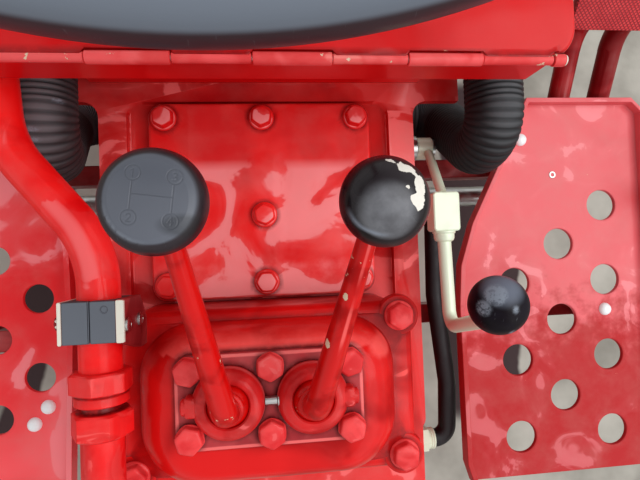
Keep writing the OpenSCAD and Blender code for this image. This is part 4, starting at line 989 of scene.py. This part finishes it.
def make_left_knob():
    """Turned disc, nearly flat on top, with the shift pattern pressed into it as shallow grooves."""
    side = flowing([(8.2, 0.0), (13.0, 0.8), (18.7, 4.2), (22.3, 10.5), (22.4, 15.0), (21.2, 19.4),
                    (18.4, 22.6), (15.6, 23.9)], 40)
    top = np.stack([np.linspace(15.5, 0.0, 110), np.zeros(110)], axis=1)
    top[:, 1] = 24.9 - 1.0 * (top[:, 0] / 15.5) ** 2
    grid = turned(np.vstack([side, top]), 300, LEFT_TOP)
    x, y, angle, out = round_about(grid, LEFT_TOP)
    lean = math.radians(-7.5)
    turn = np.array([[math.cos(lean), -math.sin(lean)], [math.sin(lean), math.cos(lean)]])
    local = (np.stack([x.ravel(), y.ravel()], axis=1) - np.array([1.45, 0.8])) @ turn
    away = np.min([distance_to(local, line) for line in gate_strokes()], axis=0).reshape(x.shape)
    on_top = (np.arange(len(grid)) >= len(side) - 6)[:, None]
    groove = 0.13 * np.clip(1 - (away / 0.35) ** 2, 0, 1) - 0.03 * np.exp(-((away - 0.6) / 0.22) ** 2)
    grid[..., 2] -= np.where(on_top, groove, 0)
    # Painted shade in the engraved grooves, and a painted dark reflection low on the right
    shade_and_dark_reflection = np.where(on_top, 0.28 * np.clip(1 - away / 0.35, 0, 1), 0)
    dark_reflection_reach = np.hypot((x + 0.25 * y - 11) / 9.5, (y + 11) / 4.4)
    shade_and_dark_reflection = np.maximum(shade_and_dark_reflection, 0.5 * np.clip((1.25 - dark_reflection_reach) * 2, 0, 1))
    # Painted highlight: a pale arc near the rim, low on the left
    glare = 0.45 * np.clip(1 - np.abs(out - 17.6) / 1.4, 0, 1)
    glare *= np.clip(1.6 - np.abs(angle % 360 - 222) / 30, 0, 1)
    piece("left_knob_moulding", [shell(grid)], "left_gear_lever", knob_black,
          ["left_knob"], crease=60, measures={"painted_shade": shade_and_dark_reflection, "glare": glare})


def make_right_knob():
    """Domed knob; an attribute holds the distance in mm to the patch worn through to the white core."""
    profile = flowing([(7.6, 0.0), (12.0, 1.4), (17.8, 6.0), (20.4, 12.5), (20.2, 17.5), (17.6, 23.2),
                       (12.6, 27.6), (6.6, 30.2), (0.0, 30.9)], 90)
    profile[-1, 0] = 0.0
    grid = turned(profile, 160, RIGHT_TOP)
    x, y, angle, out = round_about(grid, RIGHT_TOP)
    # Patch: angle round the knob, half width there and radius of its middle
    way, half, middle = np.array([
        (-36, -2.0, 12.4), (-28, 0.2, 12.3), (-20, 2.6, 11.5), (-5, 3.9, 10.8), (6, 3.8, 10.6),
        (10, 2.2, 13.0), (20, 2.9, 13.4), (29, 2.9, 13.5), (35, 2.2, 14.0), (39, 0.9, 14.6),
        (49, 1.1, 15.4), (55, 1.7, 15.0), (62, 2.1, 14.5), (74, 1.9, 14.3), (79, 0.2, 15.0),
        (84, 0.9, 16.2), (94, 0.7, 16.8), (101, -1.5, 17.0)]).T
    patch = np.interp(angle, way, half, left=-4, right=-4) - np.abs(out - np.interp(angle, way, middle))
    fleck = 7.6 * np.array([math.cos(math.radians(34)), math.sin(math.radians(34))])
    patch = np.maximum(patch, 0.9 - np.hypot(x - fleck[0], y - fleck[1]))
    patch = np.where(grid[..., 2] > RIGHT_TOP[2] + 8, patch, -4)
    # Painted highlight: a pale crescent near the rim, low on the left
    arc = np.interp(angle % 360, [195, 220, 238, 275], [18.3, 17.4, 16.3, 15.2])
    glare = np.clip(1 - np.abs(out - arc) / 1.1, 0, 1) * np.clip(1.7 - np.abs(angle % 360 - 228) / 24, 0, 1)
    piece("right_knob_moulding", [shell(grid)], "right_gear_lever", worn_knob(),
          ["right_knob"], crease=60, measures={"worn": patch, "glare": glare * 0.75})


# Valve lever at the right: zinc arm, square block, bent rod and a scuffed ball

VALVE_BALL = (146.5, -39.0, 486.0)
BLOCK_AT = (161.0, 31.0, 360.0)
BALL_R = 19
SCUFFS = [((-0.45, 0.45, 0.78), 24), ((-0.8, 0.0, 0.6), 17), ((0.1, -0.05, 1.0), 9), ((0.2, -0.85, 0.5), 9)]


def make_valve_lever():
    """Hub ring, arm and rod as round tubes on bent paths, eased block, turned ferrule, scuffed sphere."""
    x, _, z = BLOCK_AT
    hub = ring([(6.1, 0), (10.4, 0), (11, 0.6), (11, 15.4), (10.4, 16), (6.1, 16)], 48,
               (157, 102, 300), (1, 0, 0))
    arm = swept(rounded_path([(168, 95, 309), (x, 47, z)], 1, 3), 4.5, 24)
    bar_path = rounded_path([(x, 5, z), (163, -73, z), (157, -56, 440), (147.6, -40.6, 470)], 13, 1.5)
    piece("valve_lever_rod", [hub, shell(arm), shell(swept(bar_path, 6.0, 40))],
          "valve_lever", zinc_plate, ["valve_lever"])
    block = stacked([(22, 33, 2, z - 10), (24, 35, 3, z - 9.2), (24, 35, 3, z + 9.2), (22, 33, 2, z + 10)],
                    BLOCK_AT, per_corner=6, per_side=2)
    ferrule = lathed([(0, 0), (10.2, 0), (10.2, 1.5), (9.2, 2.5), (9.0, 6.5), (8.2, 8.4), (6.2, 9.6),
                      (0, 9.7)], 40, (x, 13.6, z), (0, -1, 0))
    piece("valve_lever_block", [shell(block), ferrule], "valve_lever", zinc_plate,
          ["valve_block"])
    globe = ball(VALVE_BALL, BALL_R, 96)
    out = (globe - np.asarray(VALVE_BALL)) / BALL_R
    worn = np.zeros(globe.shape[:2])
    for way, reach in SCUFFS:
        away = np.degrees(np.arccos(np.clip(out @ unit(np.array(way)), -1, 1)))
        worn = np.maximum(worn, np.clip((reach - away) / 6, 0, 1))
    piece("valve_lever_ball", [shell(globe, caps=False)], "valve_lever", ball_black,
          ["valve_ball"], measures={"glare": 0.8 * worn})


# Feed pipe with its union, elbow and clamp

def make_pipe():
    """Round tube on a bent path; union and elbow as turned rows pressed to a hexagon, bend, round foot."""
    route = rounded_path([(PIPE_X, UNION_Y, PIPE_Z), (PIPE_X, 8, PIPE_Z), (-181, 84, 420), (-196, 250, 418)],
                         70, 2.0)
    piece("feed_pipe_tube", [shell(swept(route, PIPE_R, 64))], "base", pipe_red, ["feed_pipe"])
    r = UNION_FLATS / 2
    nut = ring([(14.05, 0, 0), (r - 1.2, 0, 0), (r - 0.5, 0.7, 0), (r - 0.5, 5.8, 0), (r - 1.2, 6.7, 0),
                (r - 0.6, 7.4, 0.3), (r, 8.6, 1), (r, 20.4, 1), (r - 0.6, 21.5, 0.6), (r - 1.6, 22, 0.1),
                (14.05, 22, 0)], 60, (PIPE_X, UNION_Y, PIPE_Z), (0, 1, 0), math.pi / 6)
    bend = rounded_path([(PIPE_X, ELBOW_Y, DECK + 1), (PIPE_X, ELBOW_Y, PIPE_Z), (PIPE_X, -117, PIPE_Z)],
                        34, 2.0)
    hexagon_body = lathed([(0, 0, 0), (r - 1.6, 0, 0), (r - 0.6, 0.7, 0.5), (r, 2.0, 1), (r, 16, 1),
                           (r - 0.6, 17.3, 0.5), (r - 1.8, 18, 0), (13, 18.2, 0), (13, 22, 0), (0, 22, 0)],
                          60, (PIPE_X, -118, PIPE_Z), (0, 1, 0))
    foot = turned([(20, 0), (20, 9), (19.2, 11), (17, 12), (14.6, 14.5), (13.6, 18)], 48,
                  (PIPE_X, ELBOW_Y, DECK))
    elbow = [shell(swept(bend, PIPE_R, 48)), hexagon_body, shell(foot)]
    # Painted shade in the groove between the union nut's two steps, and at the elbow's end next to the union
    for name, shells, node, rule in (
            ("union_hexagon", [nut], "union_nut",
             lambda p: np.clip(1 - np.abs(p[:, 1] - UNION_Y - 6.9) / 1.4, 0, 0.8)),
            ("elbow_body", elbow, "feed_elbow", lambda p: np.where(p[:, 1] > -100.2, 0.85, 0))):
        piece(name, shells, "base", union_red, [node], crease=28,
              measures={"painted_shade": shaded_by(shells, rule)})


def make_clamp():
    """Plastic halves between two plates: cream zinc on the edges that show, the shaded red (painted shade) on
    the inner face.
    """
    eased("clamp_plastic", "clamp_halves", 0.8, "base", clamp_black)
    eased("clamp_inner_plate", "clamp_bracket", 0.7, "base", shaded_red)
    low, high = PIPE_Z - CLAMP_H / 2, PIPE_Z + CLAMP_H / 2
    left, right = PIPE_X - CLAMP_W / 2, PIPE_X + CLAMP_W / 2
    screw_heights = [PIPE_Z - 15, PIPE_Z + 15]
    plates = []
    for x0, x1, bottom in ((left - 2.65, left + 0.02, low - 0.15), (right - 0.02, right + 5.15, high - 2.2)):
        wide = x1 - x0
        rings = [(wide, CLAMP_L + 0.3, 0.8, bottom), (wide, CLAMP_L + 0.3, 0.8, high - 0.2),
                 (wide - 0.6, CLAMP_L - 0.3, 0.6, high + 0.15)]
        plates.append(shell(stacked(rings, ((x0 + x1) / 2, CLAMP_Y), per_corner=4, per_side=6)))
    plates += [bolt((left - 2.5, CLAMP_Y, z), 8, 2.4, 9.6, 0.4, axis=(-1, 0, 0)) for z in screw_heights]
    piece("clamp_plates", plates, "base", cream_plate)
    screws = [lathed([(0, 0), (4.7, 0), (4.7, 1.4), (3.9, 2.4), (1.6, 2.7), (1.2, 2.0), (0, 2.0)], 32,
                     (right + 5, CLAMP_Y - 3, z), (1, 0, 0)) for z in screw_heights]
    piece("clamp_screws", screws, "base", bare_steel)
    mark = ring([(1.7, 0), (1.9, 0.3), (2.3, 0.3), (2.6, 0)], 32, (right - 7.0, CLAMP_Y + 8.0, high - 0.1))
    seam = stacked([(0.5, CLAMP_L, 0.1, high - 0.4), (0.5, CLAMP_L, 0.1, high + 0.05)], (PIPE_X, CLAMP_Y),
                   per_corner=3, per_side=8)
    piece("clamp_mould_mark", [mark, shell(seam)], "base", knob_black)


# Hoses

MUD_SPOTS = [(-172.0, 99.5, 4.5), (-172.0, 92.7, 4.0), (-153.5, 121.8, 2.5)]
SIDE_HOSE_Z = 288
SIDE_HOSE_ENDS = (40, -200)


def make_hoses():
    """Ribbed hoses: round crests and narrow valleys along the CAD's route, painted shade in the valleys."""
    routes = {
        "left": ([(-171, 196, 380), (-171, 67, 380), (-199, 147, 255), (-150, 147, 255)], grey_hose),
        "right": ([(204, 196, 380), (204, 67, 380), (199, 147, 255), (150, 147, 255)], hose_black),
    }
    pitch, depth, sides = 4.7, 1.2, 72
    crest_r, cuff_r, cuff_l = 25, 25.2, 9
    for side, (corners, look) in routes.items():
        path = rounded_path(corners, 30, 0.78)
        along = lengths_along(path)
        rib = 1 - np.abs(np.sin(math.pi * along / pitch))
        cuff = (along < cuff_l) | (along > along[-1] - cuff_l)
        radius = np.where(cuff, cuff_r, crest_r - depth * rib ** 1.6)
        valley_shade = np.where(cuff, 0, np.clip(rib * 1.3 - 0.25, 0, 0.6))
        tube = swept(path, radius, sides)
        spots = [np.hypot((tube[..., 0] - x) / wide, (tube[..., 1] - y) / 1.5) for x, y, wide in MUD_SPOTS]
        mud = np.where(tube[..., 2] > 380, np.clip(1.6 - np.min(spots, axis=0), 0, 0.8), 0)
        piece(side + "_ribbed_hose", [shell(tube)], "base", look, [side + "_air_hose"],
              crease=80, measures={"painted_shade": np.repeat(valley_shade, sides), "glare": mud})
    front, rear = SIDE_HOSE_ENDS
    route = rounded_path([(160, front, SIDE_HOSE_Z), (177, front, SIDE_HOSE_Z), (172, -50, 297),
                          (181, -140, 297), (182, rear, SIDE_HOSE_Z), (160, rear, SIDE_HOSE_Z)], 14, 2.0)
    piece("side_hose_tube", [shell(swept(route, 9.0, 40))], "base", oil_dark_hose, ["side_hose"])
    sleeve = [(9.1, 0), (10.6, 0.3), (10.8, 1.2), (10.2, 2.4), (10.8, 3.6), (10.2, 4.8), (10.8, 6.0),
              (10.4, 7.4), (9.1, 7.6)]
    sleeves = [ring(sleeve, 40, (159.5, y, SIDE_HOSE_Z), (1, 0, 0)) for y in SIDE_HOSE_ENDS]
    piece("side_hose_sleeves", sleeves, "base", zinc_plate)


# Footplates with eased hole rims and worn bolt heads

def make_footplates():
    """CAD sheets with eased edges; turned rims round the holes, domed rivets and one slotted screw head."""
    # Per side: sign of X, hole radius, pitch, columns as (X, first Y, count), rivets as (X, Y)
    plans = {
        "right": (1, 16.0, 78, [(252, -197, 3), (302, -158, 3), (352, -197, 4)],
                  [(265.5, 107), (240, -72), (350, -72)], right_plate_red),
        "left": (-1, 13.5, 72, [(209, -106, 2), (246, -142, 3), (283, -178, 4), (320, -142, 3),
                                (357, -178, 4)],
                 [(202.5, -133), (214.6, -148), (258, 85), (290, 85)], plate_red),
    }
    rivet = [(0, -0.5), (6.5, -0.5), (6.4, 0.8), (5.6, 2.6), (3.8, 4.0), (1.6, 4.6), (0, 4.7)]
    for side, (sign, hole, pitch, columns, rivet_places, look) in plans.items():
        eased(side + "_plate_sheet", side + "_footplate", 1.2, "base", look, shortest=1.2)
        rim = [(hole + 6.5, -0.4), (hole + 6.5, 0.02), (hole + 4.5, 0.12), (hole + 2.6, 0.35),
               (hole + 1.2, 0.35), (hole + 0.2, -0.1), (hole - 0.3, -1.1), (hole - 0.3, -3.6),
               (hole + 0.6, -3.8)]
        rims = [ring(rim, 64, (sign * x, y + k * pitch, FOOT_TOP))
                for x, y, count in columns for k in range(count)]
        piece(side + "_plate_rims", rims, "base", look)
        rivets = [lathed(rivet, 32, (sign * x, y, FOOT_TOP)) for x, y in rivet_places]
        piece(side + "_plate_rivets", rivets, "base", worn_rivet)
    screw = lathed([(0, -0.4), (1.6, -0.3), (2.0, 0.5), (3.4, 0.6), (3.8, 0.1), (3.9, -0.4), (0, -0.5)], 32,
                   (299, 70, FOOT_TOP))
    piece("right_plate_screw", [screw], "base", bare_steel)


# Tool box, its hinge and lid

KNUCKLE_STARTS = [-204.0 + 100 * k for k in range(5)]


def make_lid():
    """Pressed lid: rounded outline, rolled edge, nearly flat waved field, notched at the knuckles."""
    wide, deep, corner, low, thick, soft = 424.0, 199.0, 22, 12.0, 3.0, 2.4
    top = HINGE_Z + 0.4 + thick
    size = (wide, deep, corner)
    outer = [(*size, top - low - thick + 3), (*size, top - soft)]
    outer += soft_edge(*size, top, soft, np.linspace(0.2, math.pi / 2, 6))
    field = drawn_in(*size, top, np.linspace(soft, deep / 2 - 0.02, 22)[1:], 1.0, 3)
    under = drawn_in(*size, top - thick, np.linspace(deep / 2 - 0.02, thick + 1, 8), 1.0, 3)
    inner = [(wide - 2 * thick, deep - 2 * thick, corner - thick, height)
             for height in (top - thick - 1, top - low - thick + 3)]
    grid = stacked(outer + field + under + inner, (0, HINGE_Y + deep / 2), per_corner=10, per_side=150)
    x, y, z = grid[..., 0], grid[..., 1], grid[..., 2]
    z[:] = np.where(y < HINGE_Y + 40, np.maximum(z, top - thick), z)
    z += np.where(z > top - 0.01, waves(grid, 0.4, 21) - 0.2, 0)
    for start in KNUCKLE_STARTS:
        beside = (x > start - 0.8) & (x < start + 50.8)
        y[:] = np.where(beside, np.maximum(y, HINGE_Y + 4.6), y)
    # Painted shade along the lid's hinge edge
    piece("lid_sheet", [shell(grid, wrap_rows=True)], "lid", sheet_red, ["box_lid"], crease=50,
          measures={"painted_shade": np.clip(1 - (y - HINGE_Y - 2) / 5, 0, 0.6)})
    length = 48.8
    roll = [(2.1, 0), (2.9, 0), (3.25, 0.4), (3.25, length - 0.4), (2.9, length), (2.1, length)]
    rolls = [ring(roll, 40, (start + 50.6, HINGE_Y, HINGE_Z), (1, 0, 0)) for start in KNUCKLE_STARTS[:4]]
    piece("lid_hinge_rolls", rolls, "lid", hinge_red)


def make_tool_box():
    """Box with eased folds; thick rolled knuckles along its rear edge, chipped at their ends."""
    eased("box_sheet", "tool_box", 0.9, "base", sheet_red, shortest=3.0)
    knuckles = []
    for start in KNUCKLE_STARTS:
        x0, x1 = max(start, -200.0) - 0.1, min(start + 50, 204.0) + 0.1
        length = x1 - x0
        rows = [(2.1, 0), (3.7, 0), (4.1, 0.5), (4.14, length / 2), (4.1, length - 0.5), (3.7, length),
                (2.1, length)]
        knuckles.append(ring(rows, 48, (x0, HINGE_Y, HINGE_Z), (1, 0, 0)))
    piece("box_hinge_knuckles", knuckles, "base", hinge_red)
    end = lathed([(0, 0), (3.4, 0), (3.8, 0.6), (3.4, 1.6), (2.4, 2.0), (0, 2.1)], 32,
                 (203.6, HINGE_Y, HINGE_Z), (1, 0, 0))
    piece("hinge_end", [end], "base", cream_plate)


# Steering wheel and pedals

WHEEL_AT, WHEEL_TILT = (-14.0, 241.0, 759.0), math.radians(25)
RIM_R, RIM_TUBE_R = 200, 14.0
PAD_X, PAD_Y, PAD_Z = 345, 230, 361
PAD_TILT = math.radians(38)


def tilted(points, tilt, base):
    """Points of a flat-lying shape turned about X by the tilt and moved to the base."""
    turn = np.array([[1, 0, 0], [0, math.cos(tilt), math.sin(tilt)], [0, -math.sin(tilt), math.cos(tilt)]])
    return points @ turn + np.asarray(base, float)


def make_wheel():
    """Rim as a tube bent to a circle with shallow finger hollows below, three tapered spokes, stepped hub."""
    hollows, hollow = 48, 0.5
    near, far, drop = 28, 190, 8.0
    round_rim = np.linspace(0, 2 * math.pi, 41)[:-1, None]
    around = np.linspace(0, 2 * math.pi, 241)[:-1]
    tube = RIM_TUBE_R - hollow * np.clip(np.cos(around * hollows), 0, 1) * np.clip(-np.sin(round_rim), 0, 1)
    out = RIM_R + tube * np.cos(round_rim)
    rim = np.stack([out * np.cos(around), out * np.sin(around), tube * np.sin(round_rim)], axis=-1)
    rim = tilted(rim, WHEEL_TILT, WHEEL_AT)
    piece("wheel_rim_tube", [shell(rim, wrap_rows=True)], "steering", rim_black,
          ["steering_wheel"])
    parts = []
    for degrees in (30, 150, 270):
        way = np.array([math.cos(math.radians(degrees)), math.sin(math.radians(degrees)), 0.0])
        share = np.linspace(0, 1, 30)
        line = way * (near + (far - near) * share[:, None]) + np.array([0, 0, -drop]) * (1 - share[:, None])
        flare = 8 - 1.5 * share + 2.5 * np.exp(-share * 14) + 1.5 * np.exp((share - 1) * 20)
        parts.append(shell(tilted(swept(line, flare, 32), WHEEL_TILT, WHEEL_AT)))
    hub = turned([(0, -26), (24.4, -26), (25, -25.4), (31.4, 7), (32, 8.4), (31.6, 10), (22.6, 15.6),
                  (21.2, 16), (17, 16), (16.2, 15.2), (14.5, 15.2), (13.5, 16), (0, 16)], 64)
    parts.append(shell(tilted(hub, WHEEL_TILT, WHEEL_AT), caps=False))
    piece("wheel_spokes_and_hub", parts, "steering", rim_black)


def make_pads():
    """Rounded rectangular tread plates, tilted with the pedals."""
    tread = checkered_red()
    for side, body in ((1, "brake"), (-1, "clutch")):
        rings = [(91.6, 51.6, 8, 5.8), (92.4, 52.4, 8, 6.4), (92.4, 52.4, 8, 7.8), (91.4, 51.4, 8, 8.6),
                 (89.4, 49.4, 7.5, 8.8), (60, 20, 4, 8.8), (40.1, 0.1, 0.02, 8.8)]
        pad = stacked(rings, (0, 0), per_corner=10, per_side=8)
        grid = tilted(pad, PAD_TILT, (side * PAD_X, PAD_Y, PAD_Z))
        piece(body + "_pad_tread", [shell(grid)], body, tread)


def finish_rest():
    """Looks for the nodes that keep their own CAD shape."""
    looks = {
        bare_steel: ["socket_link", "right_cross_pin", "left_cross_pin", "input_shaft", "output_shaft",
                     "drain_plug", "hinge_pin", "pedal_shafts", "valve_shaft", "steering_shaft"],
        casting_red: ["front_retainer", "rear_retainer", "hose_spigots"],
        zinc_plate: ["side_hose_unions"],
    }
    for look, names in looks.items():
        for name in names:
            for holder in nodes[name].material_slots:
                holder.material = look
    soft = {
        "gearbox_housing": ("housing_casting", 2.5, deck_red, "red_casting"),
        "dash_beam": ("beam_sheet", 1.5, sheet_red, "red_sheet"),
        "plate_brackets": ("bracket_bars", 1.2, shaded_red, "dark_red_paint"),
        "column_bracket": ("column_clamp", 1.5, shaded_red, "red_casting"),
        "steering_column": ("column_tube", 1.0, shaded_red, "red_sheet"),
    }
    for node, (name, width, look, slot) in soft.items():
        eased(name, node, width, "base", look)
    for side in ("brake", "clutch"):
        eased(side + "_pedal_arm", side + "_pedal", 1.2, side, pedal_red)


def make_stage():
    """Floor with two painted shadow strips below the machine, white all round, a broad lamp and a fainter
    one.
    """
    floor, tree, shader, place = new_finish("swept floor")
    x, y = part(place, "X"), part(place, "Y")
    cloud = noise(place, 6.0, 4.0)
    plain_floor = blended(between(cloud, 0.25, 0.7), (126, 122, 113), (184, 180, 170))
    drift = (cloud - 0.5) * 0.06
    # Painted shadow: two dark strips on the floor below the footplates, fading out before and behind the
    # machine
    shadow_strips = [between(abs(way + drift + at), wide - 0.008, wide, 1.0, 0.0)
               for way, at, wide in (((y + 0.05) * -0.2 + x, 0.347, 0.034), (x, -0.362, 0.07))]
    painted_shadow = larger(*shadow_strips) * between(abs(y + drift), 0.27, 0.3, 1.0, 0.0)
    wire(shader, {"Base Color": blended(painted_shadow, plain_floor, (46, 24, 26)), "Roughness": 0.8,
                  "Normal": raised(noise(place, 120.0, 5.0) * 0.0004)})
    mesh = bpy.data.meshes.new("floor")
    far = 6.0
    mesh.from_pydata([(-far, -far, 0), (far, -far, 0), (far, far, 0), (-far, far, 0)], [], [(0, 1, 2, 3)])
    mesh.materials.append(floor)
    placed("floor", mesh)
    world = bpy.data.worlds.new("white room")
    bpy.context.scene.world = world
    world.use_nodes = True
    camera, glossy, through = [put(world.node_tree, "LightPath", "Is " + kind + " Ray")
                               for kind in ("Camera", "Glossy", "Transmission")]
    seen = larger(camera, larger(glossy, through))
    wire(world.node_tree.nodes["Background"],
         {"Strength": between(seen, 0.0, 1.0, 0.6, 1.0), "Color": (1, 1, 1, 1)})
    aim = Vector((0, 0, 0.3))
    for name, watts, size, at in (("key lamp", 26.0, 1.7, (1.1, 0.1, 2.1)),
                                  ("fill lamp", 9.0, 1.6, (1.4, -1.3, 1.9))):
        data = bpy.data.lights.new(name, "AREA")
        data.energy, data.size = watts, size
        lamp = placed(name, data)
        lamp.location = at
        lamp.rotation_euler = (aim - Vector(at)).to_track_quat("-Z", "Y").to_euler()


make_camera()
make_stage()
make_cover()
make_tower()
make_tower_plate()
make_bolts()
make_sockets()
make_levers()
make_left_knob()
make_right_knob()
make_valve_lever()
make_pipe()
make_clamp()
make_hoses()
make_footplates()
make_tool_box()
make_lid()
make_wheel()
make_pads()
finish_rest()
bpy.context.scene.view_settings.view_transform = "Standard"
